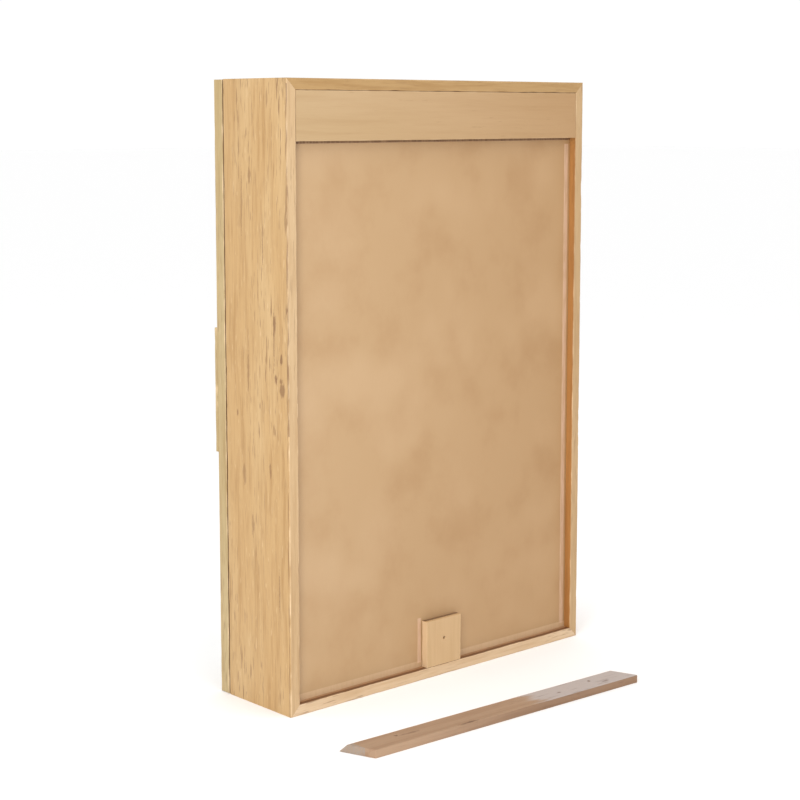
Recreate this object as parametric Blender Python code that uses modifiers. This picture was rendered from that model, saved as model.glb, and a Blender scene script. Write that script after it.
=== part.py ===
"""A wall-hung wooden cabinet with a mirrored door, adjustable shelves and a French cleat.

Metres, +Z up. The origin is the middle of the bottom panel's underside. The door is at -Y
and hinges at its -X edge, its pull is at +X, and the side that meets the wall is at +Y.
The wall half of the cleat lies loose on the floor behind the cabinet.
"""

import math

import bmesh
import bpy
from mathutils import Matrix, Vector

# Driving dimensions of the case.
WIDTH = 0.508
HEIGHT = 0.762
CASE_DEPTH = 0.122
PANEL = 0.014
GAP = 0.0003  # between two pieces that touch
ARRIS = 0.0009  # width of the eased outer edges

# The recess behind the back panel, where the cleat's two halves meet.
RECESS = 0.0105
BACK_PANEL = 0.004
GROOVE = 0.005
RAIL_LOW = 0.6885
BLOCK_WIDTH = 0.060
BLOCK_TOP = 0.0745
BLOCK_HOLE_Z = 0.0485
FIXING_HOLE_R = 0.0022
RAIL_SCREW_XS = (-0.17, 0.0, 0.17)
RAIL_SCREW_Z = 0.725

# The loose wall half of the cleat.
CLEAT_LENGTH = 0.427
CLEAT_WIDTH = 0.0445
CLEAT_THICKNESS = 0.0102
CLEAT_HOLE_SPACING = 0.314
CLEAT_HOLE_INSET = 0.022
CLEAT_END_ANGLE = math.radians(22.5)
CLEAT_TURN = math.radians(-2.94)
CLEAT_PLACE = Vector((0.0552, 0.2416, 0.0))

# Door.
DOOR_GAP = 0.0015
DOOR_THICKNESS = 0.0165
DOOR_MARGIN = 0.0005
FRAME_WIDTH = 0.060
FRAME_LIP = 0.0055
REBATE = 0.009
MIRROR = 0.004
BACKING = 0.0025
BEAD = 0.0035
PULL_LENGTH = 0.155
PULL_MIDDLE = 0.3825
PULL_WIDTH = 0.018
PULL_PROUD = 0.005

# Butt hinges.
HINGE_LENGTH = 0.050
HINGE_INSET = 0.090
KNUCKLE_R = 0.0026
PIN_R = 0.0011
LEAF = 0.0010
LEAF_LET_IN = 0.0010
LEAF_REACH = 0.0105
LEAF_SCREW_X = 0.0064  # from the knuckle's outside
LEAF_SCREW_SHARES = (0.15, 0.5, 0.85)  # along the leaf
KNUCKLES = 5
KNUCKLE_SIDES = 20
PIN_HEAD = 0.0008

# The countersunk screw used throughout.
SCREW_HEAD_R = 0.0028
SCREW_HEAD = 0.0016
SCREW_R = 0.0013
SCREW_LENGTH = 0.0110
SCREW_TIP = 0.0025
SCREW_SLOT = 0.0007

# Shelves and their pins.
SHELF = 0.012
SHELF_ENDS = 0.0025
SHELF_FRONT = -0.055
SHELF_BACK = 0.045
SHELF_PIN_ROWS = (-0.040, 0.030)
SHELF_HOLE_PITCH = 0.032
SHELF_HOLES = 5
SHELF_HOLE_STARTS = (0.180, 0.436)
SHELF_CHOSEN_HOLE = 2
SHELF_PIN_R = 0.0025
SHELF_PIN_STUB = 0.007
SHELF_PIN_COLLAR_R = 0.0035
SHELF_PIN_COLLAR = 0.001
SHELF_HOLE_DEPTH = 0.009

# Magnetic catch and bumpers.
CATCH_X = 0.213
CATCH_SIZE = Vector((0.026, 0.014, 0.011))
CATCH_FLANGE = Vector((0.050, 0.014, 0.0025))
CATCH_SCREW_SPACING = 0.038
STRIKE_SIZE = Vector((0.030, 0.0010, 0.012))
BUMPER_R = 0.004
BUMPER = 0.0009
BUMPER_CROWN = 0.8  # share of the radius that is flat on top
BUMPER_WALL = 0.4  # share of the height that is straight
BUMPER_INSET = 0.030
BUMPER_SIDES = 24

# Planes worked out from the above.
BACK = CASE_DEPTH / 2
FRONT = -CASE_DEPTH / 2
PANEL_REAR = BACK - RECESS
PANEL_FACE = PANEL_REAR - BACK_PANEL
INNER_X = WIDTH / 2 - PANEL
INNER_TOP = HEIGHT - PANEL
DOOR_BACK = FRONT - DOOR_GAP
DOOR_FRONT = DOOR_BACK - DOOR_THICKNESS
DOOR_LOW = DOOR_MARGIN
DOOR_HIGH = HEIGHT - DOOR_MARGIN
HINGE_X = -WIDTH / 2 - GAP - KNUCKLE_R
HINGE_Y = FRONT - DOOR_GAP / 2
CASE_LEAF_Y = FRONT + LEAF_LET_IN - GAP
DOOR_LEAF_Y = DOOR_BACK - LEAF_LET_IN + GAP
ROUND = 16  # sides of small round pieces
BITE = 0.002  # how far a cutter runs past the face it enters
TINY = 1e-6
SAME_POINT = 0.00001
SHARP = math.radians(35)


def clear_scene():
    """Removes every object that the scene starts with."""
    for old in list(bpy.data.objects):
        bpy.data.objects.remove(old, do_unlink=True)


def collection(name):
    made = bpy.data.collections.new(name)
    bpy.context.scene.collection.children.link(made)
    return made


def finish(name, colour, roughness, metallic=0.0):
    """A plain material of one colour."""
    made = bpy.data.materials.new(name)
    made.use_nodes = True
    shader = made.node_tree.nodes["Principled BSDF"]
    shader.inputs["Base Color"].default_value = (*colour, 1.0)
    shader.inputs["Roughness"].default_value = roughness
    shader.inputs["Metallic"].default_value = metallic
    return made


def add_box(bm, low, high):
    """Adds a box between two corners and returns its points."""
    low, high = Vector(low), Vector(high)
    verts = bmesh.ops.create_cube(bm, size=1.0)["verts"]
    bmesh.ops.scale(bm, vec=high - low, verts=verts)
    bmesh.ops.translate(bm, vec=(low + high) / 2, verts=verts)
    return verts


def add_rod(bm, start, end, radius, sides=ROUND):
    """Adds a round rod between two points."""
    start, end = Vector(start), Vector(end)
    turn = (end - start).to_track_quat("Z", "Y").to_matrix().to_4x4()
    bmesh.ops.create_cone(
        bm,
        cap_ends=True,
        segments=sides,
        radius1=radius,
        radius2=radius,
        depth=(end - start).length,
        matrix=Matrix.Translation((start + end) / 2) @ turn,
    )


def object_of(bm, name, home):
    """Turns a bmesh into an object of the given collection."""
    bmesh.ops.recalc_face_normals(bm, faces=bm.faces)
    mesh = bpy.data.meshes.new(name)
    bm.to_mesh(mesh)
    bm.free()
    made = bpy.data.objects.new(name, mesh)
    home.objects.link(made)
    return made


def centre_origin(piece, point):
    """Moves a piece's origin to a point and leaves its shape where it is."""
    piece.data.transform(Matrix.Translation(-Vector(point)))
    piece.location = point


def box(name, low, high, material):
    bm = bmesh.new()
    add_box(bm, low, high)
    made = object_of(bm, name, parts)
    centre_origin(made, (Vector(low) + Vector(high)) / 2)
    made.data.materials.append(material)
    return made


def cutter(name, boxes=(), rods=()):
    """One hidden cutter made of separate boxes and rods."""
    bm = bmesh.new()
    for low, high in boxes:
        add_box(bm, low, high)
    for start, end, radius in rods:
        add_rod(bm, start, end, radius)
    made = object_of(bm, name, cutters)
    made.hide_render = True
    made.display_type = "WIRE"
    return made


def cut(piece, *tools):
    """Takes each cutter away from a piece."""
    for tool in tools:
        change = piece.modifiers.new(f"cut {tool.name}", "BOOLEAN")
        change.operation = "DIFFERENCE"
        change.solver = "EXACT"
        change.object = tool


def join(piece, other):
    """Adds another solid, kept with the cutters, to a piece."""
    change = piece.modifiers.new(f"join {other.name}", "BOOLEAN")
    change.operation = "UNION"
    change.solver = "EXACT"
    change.object = other


def settle(piece):
    """Replaces a piece's mesh by what its modifiers make of it."""
    bpy.context.view_layer.update()
    seen = piece.evaluated_get(bpy.context.evaluated_depsgraph_get())
    mesh = bpy.data.meshes.new_from_object(seen)
    piece.modifiers.clear()
    piece.data = mesh


def ease(piece, chosen):
    """Rounds the edges for which chosen(start, end) is true, in the piece's own frame."""
    bm = bmesh.new()
    bm.from_mesh(piece.data)
    weight = bm.edges.layers.float.new("bevel_weight_edge")
    for edge in bm.edges:
        edge[weight] = float(chosen(edge.verts[0].co, edge.verts[1].co))
    bm.to_mesh(piece.data)
    bm.free()
    change = piece.modifiers.new("eased edges", "BEVEL")
    change.limit_method = "WEIGHT"
    change.width = ARRIS
    change.segments = 2


def turned(name, profile, sides=ROUND):
    """The mesh of a profile of (radius, height) points turned about Z."""
    mesh = bpy.data.meshes.new(name)
    points = [(radius, 0.0, height) for radius, height in profile]
    mesh.from_pydata(points, [(i, i + 1) for i in range(len(points) - 1)], [])
    shape = bpy.data.objects.new(name, mesh)
    cutters.objects.link(shape)
    change = shape.modifiers.new("turn", "SCREW")
    change.axis = "Z"
    change.steps = sides
    change.render_steps = sides
    change.use_merge_vertices = True
    change.merge_threshold = SAME_POINT
    settle(shape)
    made = shape.data
    bpy.data.objects.remove(shape)
    made.shade_smooth()
    made.set_sharp_from_angle(angle=SHARP)
    return made


def copy_of(name, mesh, place, direction, material):
    """An object that shares a mesh, with its Z axis turned to a direction."""
    made = bpy.data.objects.new(name, mesh)
    made.location = place
    made.rotation_euler = Vector(direction).to_track_quat("Z", "Y").to_euler()
    if not mesh.materials:
        mesh.materials.append(material)
    parts.objects.link(made)
    return made


def screw_mesh():
    """A slotted countersunk screw: its head's face is at 0 and its tip points down."""
    neck = -SCREW_HEAD
    shoulder = -SCREW_LENGTH + SCREW_TIP
    profile = [
        (0.0, 0.0),
        (SCREW_HEAD_R, 0.0),
        (SCREW_R, neck),
        (SCREW_R, shoulder),
        (0.0, -SCREW_LENGTH),
    ]
    screw = bpy.data.objects.new("screw pattern", turned("screw", profile))
    cutters.objects.link(screw)
    half = SCREW_SLOT / 2
    reach = 2 * SCREW_HEAD_R
    slot = cutter("screw slot", boxes=[((-reach, -half, -SCREW_SLOT), (reach, half, BITE))])
    cut(screw, slot)
    settle(screw)
    made = screw.data
    bpy.data.objects.remove(screw)
    bpy.data.objects.remove(slot)
    return made


def seat_mesh():
    """The clearance that a screw needs around it, as a cutter's mesh."""
    head = SCREW_HEAD_R + GAP
    neck = -SCREW_HEAD - GAP
    shank = SCREW_R + GAP
    bottom = -SCREW_LENGTH - GAP
    profile = [
        (0.0, BITE),
        (head, BITE),
        (head, 0.0),
        (shank, neck),
        (shank, bottom),
        (0.0, bottom),
    ]
    return turned("seat", profile)


def screw(name, head, direction, through):
    """A screw whose head's face is at a point, and its seat cut in each piece it goes through."""
    made = copy_of(name, SCREW_MESH, head, -Vector(direction), steel)
    seat = bpy.data.objects.new(f"{name} seat", SEAT_MESH)
    seat.location = made.location
    seat.rotation_euler = made.rotation_euler
    seat.hide_render = True
    seat.display_type = "WIRE"
    cutters.objects.link(seat)
    for piece in through:
        cut(piece, seat)
    return made


def hang_on(axis, *pieces):
    """Parents pieces to an axis empty and leaves them where they are."""
    bpy.context.view_layer.update()
    for piece in pieces:
        piece.parent = axis
        piece.matrix_parent_inverse = axis.matrix_world.inverted()


def mitred_panel(name, low, high, along, inward):
    """A case panel whose ends are cut at 45 degrees towards its inner face."""
    bm = bmesh.new()
    verts = add_box(bm, low, high)
    across = 2 - along
    inner = (high if inward > 0 else low)[across]
    for vert in verts:
        end = 1.0 if vert.co[along] > (low[along] + high[along]) / 2 else -1.0
        vert.co[along] -= end * GAP * math.sqrt(0.5)
        if abs(vert.co[across] - inner) < TINY:
            vert.co[along] -= end * PANEL
    made = object_of(bm, name, parts)
    centre_origin(made, (Vector(low) + Vector(high)) / 2)
    made.data.materials.append(case_wood)
    outer = -inward * PANEL / 2

    def on_outer_edge(a, b):
        return a.y == b.y and abs(a[across] - outer) < TINY and abs(b[across] - outer) < TINY

    ease(made, on_outer_edge)
    return made


def shelf_holes(sign):
    """The two rows of holes in one side panel, as rods: sign is the panel's side."""
    heights = [
        start + i * SHELF_HOLE_PITCH for start in SHELF_HOLE_STARTS for i in range(SHELF_HOLES)
    ]
    mouth = sign * (INNER_X - BITE)
    bottom = sign * (INNER_X + SHELF_HOLE_DEPTH)
    radius = SHELF_PIN_R + GAP
    return [((mouth, y, z), (bottom, y, z), radius) for y in SHELF_PIN_ROWS for z in heights]


def build_case():
    """The four mitred panels, the back panel in its groove, the rail and the block."""
    half = WIDTH / 2
    sides = {}
    for side, sign in (("left", -1), ("right", 1)):
        x_pair = sorted((sign * half, sign * INNER_X))
        low, high = (x_pair[0], FRONT, 0.0), (x_pair[1], BACK, HEIGHT)
        sides[side] = mitred_panel(f"side_panel_{side}", low, high, 2, -sign)
        cut(sides[side], cutter(f"shelf holes {side}", rods=shelf_holes(sign)))
    top = mitred_panel("top_panel", (-half, FRONT, INNER_TOP), (half, BACK, HEIGHT), 0, -1)
    bottom = mitred_panel("bottom_panel", (-half, FRONT, 0.0), (half, BACK, PANEL), 0, 1)

    groove_low = (-INNER_X - GROOVE, PANEL_FACE - GAP, PANEL - GROOVE)
    groove_high = (INNER_X + GROOVE, PANEL_REAR + GAP, INNER_TOP + GROOVE)
    groove = cutter("back panel groove", boxes=[(groove_low, groove_high)])
    for panel in (sides["left"], sides["right"], top, bottom):
        cut(panel, groove)
    reach = GROOVE - GAP
    back = box(
        "back_panel",
        (-INNER_X - reach, PANEL_FACE, PANEL - reach),
        (INNER_X + reach, PANEL_REAR, INNER_TOP + reach),
        panel_wood,
    )
    rail = build_rail()
    block = box(
        "spacer_block",
        (-BLOCK_WIDTH / 2, PANEL_REAR + GAP, PANEL + GAP),
        (BLOCK_WIDTH / 2, BACK, BLOCK_TOP),
        rail_wood,
    )
    hole = ((0.0, PANEL_REAR - BITE, BLOCK_HOLE_Z), (0.0, BACK + BITE, BLOCK_HOLE_Z), FIXING_HOLE_R)
    cut(block, cutter("block hole", rods=[hole]))
    for i, x in enumerate(RAIL_SCREW_XS):
        screw(f"rail_screw_{i + 1}", (x, PANEL_FACE, RAIL_SCREW_Z), (0, 1, 0), (back, rail))
    return sides, top


def build_rail():
    """The cabinet's half of the cleat: its lower edge slopes up from the wall side."""
    low = Vector((-INNER_X + GAP, PANEL_REAR + GAP, RAIL_LOW))
    high = Vector((INNER_X - GAP, BACK, INNER_TOP - GAP))
    bm = bmesh.new()
    for vert in add_box(bm, low, high):
        if vert.co.z < RAIL_LOW + TINY and vert.co.y < BACK - TINY:
            vert.co.z += high.y - low.y
    made = object_of(bm, "hanging_rail", parts)
    centre_origin(made, (low + high) / 2)
    made.data.materials.append(rail_wood)
    return made


def build_cleat():
    """The loose wall half of the cleat, with one sloping edge and both ends cut askew."""
    bm = bmesh.new()
    low = (-CLEAT_LENGTH / 2, -CLEAT_WIDTH, 0.0)
    high = (CLEAT_LENGTH / 2, 0.0, CLEAT_THICKNESS)
    for vert in add_box(bm, low, high):
        if vert.co.z > CLEAT_THICKNESS / 2 and vert.co.y < -CLEAT_WIDTH / 2:
            vert.co.y += CLEAT_THICKNESS
        vert.co.x -= vert.co.y * math.tan(CLEAT_END_ANGLE)
    made = object_of(bm, "wall_cleat", parts)
    made.data.materials.append(cleat_wood)
    made.location = CLEAT_PLACE
    made.rotation_euler = (0.0, 0.0, CLEAT_TURN)
    slide = CLEAT_HOLE_INSET * math.tan(CLEAT_END_ANGLE)
    bpy.context.view_layer.update()
    rods = []
    for side in (-1, 1):
        x = side * CLEAT_HOLE_SPACING / 2 + slide
        low = made.matrix_world @ Vector((x, -CLEAT_HOLE_INSET, -BITE))
        high = made.matrix_world @ Vector((x, -CLEAT_HOLE_INSET, CLEAT_THICKNESS + BITE))
        rods.append((low, high, FIXING_HOLE_R))
    cut(made, cutter("cleat holes", rods=rods))


def build_door(hinge_axis):
    """The rebated frame, the mirror with its backing and beads, and the edge pull."""
    half = WIDTH / 2
    opening_x = half - FRAME_WIDTH
    opening_low = DOOR_LOW + FRAME_WIDTH
    opening_high = DOOR_HIGH - FRAME_WIDTH
    lip = DOOR_FRONT + FRAME_LIP
    rebate_low = (-opening_x - REBATE, lip, opening_low - REBATE)
    rebate_high = (opening_x + REBATE, DOOR_BACK + BITE, opening_high + REBATE)
    rebate = cutter("door rebate", boxes=[(rebate_low, rebate_high)])

    stiles = {}
    for side, sign in (("left", -1), ("right", 1)):
        x_pair = sorted((sign * half, sign * opening_x))
        low = (x_pair[0], DOOR_FRONT, DOOR_LOW)
        high = (x_pair[1], DOOR_BACK, DOOR_HIGH)
        stile = box(f"door_stile_{side}", low, high, door_wood)
        outer = sign * FRAME_WIDTH / 2
        ease(stile, lambda a, b: a.x == b.x and a.y == b.y and abs(a.x - outer) < TINY)
        cut(stile, rebate)
        stiles[side] = stile
    rails = []
    for name, z_pair in (("top", (opening_high, DOOR_HIGH)), ("bottom", (DOOR_LOW, opening_low))):
        low = (-opening_x + GAP, DOOR_FRONT, z_pair[0])
        high = (opening_x - GAP, DOOR_BACK, z_pair[1])
        rails.append(box(f"door_rail_{name}", low, high, door_wood))
        cut(rails[-1], rebate)

    reach_x = opening_x + REBATE - GAP
    reach_low = opening_low - REBATE + GAP
    reach_high = opening_high + REBATE - GAP
    mirror_y = lip + GAP
    backing_y = mirror_y + MIRROR + GAP
    bead_y = backing_y + BACKING + GAP
    low = (-reach_x, mirror_y, reach_low)
    high = (reach_x, mirror_y + MIRROR, reach_high)
    mirror = box("mirror_glass", low, high, silver)
    low = (-reach_x, backing_y, reach_low)
    high = (reach_x, backing_y + BACKING, reach_high)
    backing = box("mirror_backing", low, high, hardboard)
    width = REBATE - 2 * GAP
    pieces = [mirror, backing]
    for side, sign in (("left", -1), ("right", 1)):
        x_pair = sorted((sign * reach_x, sign * (reach_x - width)))
        low = (x_pair[0], bead_y, reach_low)
        high = (x_pair[1], bead_y + BEAD, reach_high)
        pieces.append(box(f"mirror_bead_{side}", low, high, door_wood))
    inner = reach_x - width - GAP
    for name, z in (("bottom", reach_low), ("top", reach_high - width)):
        low = (-inner, bead_y, z)
        high = (inner, bead_y + BEAD, z + width)
        pieces.append(box(f"mirror_bead_{name}", low, high, door_wood))

    pull_low = (half - PULL_WIDTH, DOOR_FRONT - PULL_PROUD, PULL_MIDDLE - PULL_LENGTH / 2)
    pull_high = (half, DOOR_FRONT - GAP, PULL_MIDDLE + PULL_LENGTH / 2)
    pull = box("door_pull", pull_low, pull_high, door_wood)
    front = -(PULL_PROUD - GAP) / 2
    ease(pull, lambda a, b: a.y == b.y and abs(a.y - front) < TINY)
    hang_on(hinge_axis, *stiles.values(), *rails, *pieces, pull)
    return stiles


def hinge_leaf(name, owner_parity, low_z, y_low, material):
    """A leaf with its own knuckles about the pin's axis, open where the other leaf's are."""
    bm = bmesh.new()
    axis_low = (HINGE_X, HINGE_Y, low_z)
    axis_high = (HINGE_X, HINGE_Y, low_z + HINGE_LENGTH)
    add_rod(bm, axis_low, axis_high, KNUCKLE_R, KNUCKLE_SIDES)
    leaf = object_of(bm, name, parts)
    leaf.data.materials.append(material)
    centre_origin(leaf, axis_low)
    plate_low = (HINGE_X, y_low, low_z)
    plate_high = (HINGE_X + KNUCKLE_R + LEAF_REACH, y_low + LEAF, low_z + HINGE_LENGTH)
    join(leaf, cutter(f"{name} plate", boxes=[(plate_low, plate_high)]))
    step = HINGE_LENGTH / KNUCKLES
    clear = KNUCKLE_R + 2 * GAP
    notches = []
    for i in range(KNUCKLES):
        if i % 2 == owner_parity:
            continue
        bottom = low_z + i * step - (GAP if i else BITE) / 2
        top = low_z + (i + 1) * step + (GAP if i < KNUCKLES - 1 else BITE) / 2
        notch_low = (HINGE_X - clear, HINGE_Y - clear, bottom)
        notches.append((notch_low, (HINGE_X + clear, HINGE_Y + clear, top)))
    bore_low = (HINGE_X, HINGE_Y, low_z - BITE)
    bore_high = (HINGE_X, HINGE_Y, low_z + HINGE_LENGTH + BITE)
    bore = cutter(f"{name} bore", rods=[(bore_low, bore_high, PIN_R + GAP)])
    cut(leaf, cutter(f"{name} notches", boxes=notches), bore)
    return leaf


def let_in(piece, name, low_z, y_from, y_to):
    """A shallow mortise for a hinge leaf in the edge of a wooden piece."""
    low = (HINGE_X, min(y_from, y_to), low_z - GAP)
    high = (HINGE_X + KNUCKLE_R + LEAF_REACH + GAP, max(y_from, y_to), low_z + HINGE_LENGTH + GAP)
    cut(piece, cutter(name, boxes=[(low, high)]))


def build_hinges(hinge_axis, side, stile):
    """Two butt hinges between the left side panel and the door's left stile."""
    pin_top = HINGE_LENGTH + GAP
    profile = [
        (0.0, pin_top + PIN_HEAD),
        (2 * PIN_R, pin_top + PIN_HEAD),
        (2 * PIN_R, pin_top),
        (PIN_R, pin_top),
        (PIN_R, -GAP),
        (0.0, -GAP),
    ]
    pin_mesh = turned("hinge pin", profile)
    for place, low_z in (("lower", HINGE_INSET), ("upper", HEIGHT - HINGE_INSET - HINGE_LENGTH)):
        case_leaf = hinge_leaf(f"hinge_{place}_case_leaf", 0, low_z, CASE_LEAF_Y - LEAF, steel)
        door_leaf = hinge_leaf(f"hinge_{place}_door_leaf", 1, low_z, DOOR_LEAF_Y, steel)
        copy_of(f"hinge_{place}_pin", pin_mesh, (HINGE_X, HINGE_Y, low_z), (0, 0, 1), steel)
        let_in(side, f"{place} case mortise", low_z, FRONT - BITE, FRONT + LEAF_LET_IN)
        let_in(stile, f"{place} door mortise", low_z, DOOR_BACK + BITE, DOOR_BACK - LEAF_LET_IN)
        screw_x = HINGE_X + KNUCKLE_R + LEAF_SCREW_X
        door_screws = []
        for i, share in enumerate(LEAF_SCREW_SHARES):
            z = low_z + share * HINGE_LENGTH
            case_head = (screw_x, CASE_LEAF_Y - LEAF, z)
            screw(f"hinge_{place}_case_screw_{i + 1}", case_head, (0, 1, 0), (case_leaf, side))
            door_head = (screw_x, DOOR_LEAF_Y + LEAF, z)
            name = f"hinge_{place}_door_screw_{i + 1}"
            door_screws.append(screw(name, door_head, (0, -1, 0), (door_leaf, stile)))
        hang_on(hinge_axis, door_leaf, *door_screws)


def build_shelves():
    """Two shelves, each resting on four turned pins in the holes of the side panels."""
    depth = SHELF_HOLE_DEPTH - GAP
    profile = [
        (0.0, SHELF_PIN_STUB),
        (SHELF_PIN_R, SHELF_PIN_STUB),
        (SHELF_PIN_R, SHELF_PIN_COLLAR),
        (SHELF_PIN_COLLAR_R, SHELF_PIN_COLLAR),
        (SHELF_PIN_COLLAR_R, 0.0),
        (SHELF_PIN_R, 0.0),
        (SHELF_PIN_R, -depth),
        (0.0, -depth),
    ]
    pin_mesh = turned("shelf pin", profile)
    for place, start in zip(("lower", "upper"), SHELF_HOLE_STARTS):
        hole_z = start + SHELF_CHOSEN_HOLE * SHELF_HOLE_PITCH
        low_z = hole_z + SHELF_PIN_R + GAP
        reach = INNER_X - SHELF_ENDS
        low = (-reach, SHELF_FRONT, low_z)
        high = (reach, SHELF_BACK, low_z + SHELF)
        box(f"shelf_{place}", low, high, case_wood)
        for side, sign in (("left", -1), ("right", 1)):
            for row, y in zip(("front", "back"), SHELF_PIN_ROWS):
                foot = (sign * (INNER_X - GAP), y, hole_z)
                copy_of(f"shelf_{place}_pin_{side}_{row}", pin_mesh, foot, (-sign, 0, 0), steel)


def build_catch(hinge_axis, top, stile):
    """A magnetic catch under the top panel, its strike plate and two bumpers on the door."""
    under = INNER_TOP - GAP
    catch_back = FRONT + 2 * GAP + CATCH_SIZE.y
    size = CATCH_FLANGE
    low = (CATCH_X - size.x / 2, catch_back - size.y, under - size.z)
    high = (CATCH_X + size.x / 2, catch_back, under)
    catch = box("magnetic_catch", low, high, white_plastic)
    size = CATCH_SIZE
    low = (CATCH_X - size.x / 2, catch_back - size.y, under - size.z)
    high = (CATCH_X + size.x / 2, catch_back, under)
    join(catch, cutter("catch body", boxes=[(low, high)]))
    middle_y = catch_back - size.y / 2
    for i, side in enumerate((-1, 1)):
        head = (CATCH_X + side * CATCH_SCREW_SPACING / 2, middle_y, under - CATCH_FLANGE.z)
        screw(f"catch_screw_{i + 1}", head, (0, 0, 1), (catch, top))

    size = STRIKE_SIZE
    strike_z = under - CATCH_SIZE.z / 2
    strike_y = DOOR_BACK + GAP
    low = (CATCH_X - size.x / 2, strike_y, strike_z - size.z / 2)
    high = (CATCH_X + size.x / 2, strike_y + size.y, strike_z + size.z / 2)
    strike = box("strike_plate", low, high, steel)
    head = (CATCH_X, strike_y + size.y, strike_z)
    strike_screw = screw("strike_screw", head, (0, -1, 0), (strike, stile))

    profile = [
        (0.0, BUMPER),
        (BUMPER_R * BUMPER_CROWN, BUMPER),
        (BUMPER_R, BUMPER * BUMPER_WALL),
        (BUMPER_R, 0.0),
        (0.0, 0.0),
    ]
    bumper_mesh = turned("bumper", profile, BUMPER_SIDES)
    bumpers = []
    for place, z in (("lower", BUMPER_INSET), ("upper", HEIGHT - BUMPER_INSET)):
        foot = (WIDTH / 2 - PANEL / 2, DOOR_BACK + GAP, z)
        bumpers.append(copy_of(f"door_bumper_{place}", bumper_mesh, foot, (0, 1, 0), rubber))
    hang_on(hinge_axis, strike, strike_screw, *bumpers)


clear_scene()
parts = collection("wall_cabinet")
cutters = collection("cutters")
case_wood = finish("distressed softwood", (0.63, 0.41, 0.20), 0.6)
door_wood = finish("distressed door softwood", (0.64, 0.44, 0.24), 0.6)
panel_wood = finish("back plywood", (0.58, 0.37, 0.19), 0.65)
rail_wood = finish("planed softwood", (0.60, 0.39, 0.21), 0.65)
cleat_wood = finish("raw softwood", (0.50, 0.35, 0.24), 0.75)
hardboard = finish("hardboard", (0.23, 0.13, 0.07), 0.8)
silver = finish("silvered glass", (0.85, 0.87, 0.88), 0.03, 1.0)
steel = finish("plated steel", (0.60, 0.60, 0.58), 0.35, 1.0)
white_plastic = finish("moulded plastic", (0.75, 0.74, 0.70), 0.45)
rubber = finish("soft rubber", (0.55, 0.53, 0.50), 0.9)
SCREW_MESH = screw_mesh()
SEAT_MESH = seat_mesh()

side_panels, top_panel = build_case()
build_cleat()
door_axis = bpy.data.objects.new("door hinge axis", None)
door_axis.location = (HINGE_X, HINGE_Y, 0.0)
parts.objects.link(door_axis)
door_stiles = build_door(door_axis)
build_hinges(door_axis, side_panels["left"], door_stiles["left"])
build_shelves()
build_catch(door_axis, top_panel, door_stiles["right"])
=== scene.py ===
"""The looks of a wall-hung wooden cabinet with a mirrored door and a French cleat.

Metres, +Z up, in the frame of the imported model. The door is at -Y and hinges at -X, its pull
is at +X, and the side that meets the wall is at +Y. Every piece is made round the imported
solids, rides on their bodies and stays within their sizes.
"""

from __future__ import annotations

import logging
import math
import random
from dataclasses import dataclass, field, replace
from enum import Enum
from typing import Any, Callable, Iterable, Sequence

import bmesh
import bpy
from mathutils import Matrix, Vector, noise

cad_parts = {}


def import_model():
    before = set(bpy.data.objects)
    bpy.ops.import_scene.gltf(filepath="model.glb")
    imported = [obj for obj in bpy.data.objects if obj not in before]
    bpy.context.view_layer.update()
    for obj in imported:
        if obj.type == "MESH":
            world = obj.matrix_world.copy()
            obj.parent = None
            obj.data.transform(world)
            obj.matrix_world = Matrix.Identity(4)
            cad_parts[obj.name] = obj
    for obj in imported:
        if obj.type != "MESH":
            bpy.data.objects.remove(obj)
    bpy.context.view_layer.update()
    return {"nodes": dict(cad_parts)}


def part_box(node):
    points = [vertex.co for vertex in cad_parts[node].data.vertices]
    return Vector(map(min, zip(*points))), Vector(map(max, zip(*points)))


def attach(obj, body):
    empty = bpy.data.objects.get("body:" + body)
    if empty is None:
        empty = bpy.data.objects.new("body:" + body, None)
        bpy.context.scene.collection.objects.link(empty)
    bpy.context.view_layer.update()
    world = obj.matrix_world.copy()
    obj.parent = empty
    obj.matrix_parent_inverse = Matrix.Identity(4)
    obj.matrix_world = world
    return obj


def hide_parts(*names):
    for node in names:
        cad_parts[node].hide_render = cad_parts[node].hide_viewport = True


LOG = logging.getLogger("wall cabinet")
MM = 0.001
SAME_POINT = 2e-6  # points closer than this are one point
ON_PLANE = 2e-5  # how near a plane a point counts as on it
PART_OFF = 0.0018  # how far in from an arris its wear may show, in metres
WORN = "arris"  # the attribute that says how worn an edge is


def linear(colour: str) -> tuple[float, float, float, float]:
    """Turns an sRGB hex colour into linear red, green, blue and alpha.

    Args:
        colour: six hex digits after a hash sign.

    Returns:
        The linear colour with full alpha.
    """
    shares = [int(colour[i : i + 2], 16) / 255 for i in (1, 3, 5)]
    turned = [s / 12.92 if s <= 0.04045 else ((s + 0.055) / 1.055) ** 2.4 for s in shares]
    return (turned[0], turned[1], turned[2], 1.0)


def add_node(
    tree: bpy.types.NodeTree,
    kind: str,
    inputs: dict[int | str, Any] | None = None,
    **settings: Any,
) -> bpy.types.Node:
    """Adds a node with its settings and its inputs, which are values or other nodes' outputs.

    Args:
        tree: the tree that the node goes into.
        kind: Blender's name for the kind of node.
        inputs: what goes into each input, by the input's name or number.
        settings: the node's own settings.

    Returns:
        The new node.
    """
    node = tree.nodes.new(kind)
    for setting, value in settings.items():
        setattr(node, setting, value)
    for place, value in (inputs or {}).items():
        if isinstance(value, bpy.types.NodeSocket):
            tree.links.new(value, node.inputs[place])
        else:
            node.inputs[place].default_value = value
    return node


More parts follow.
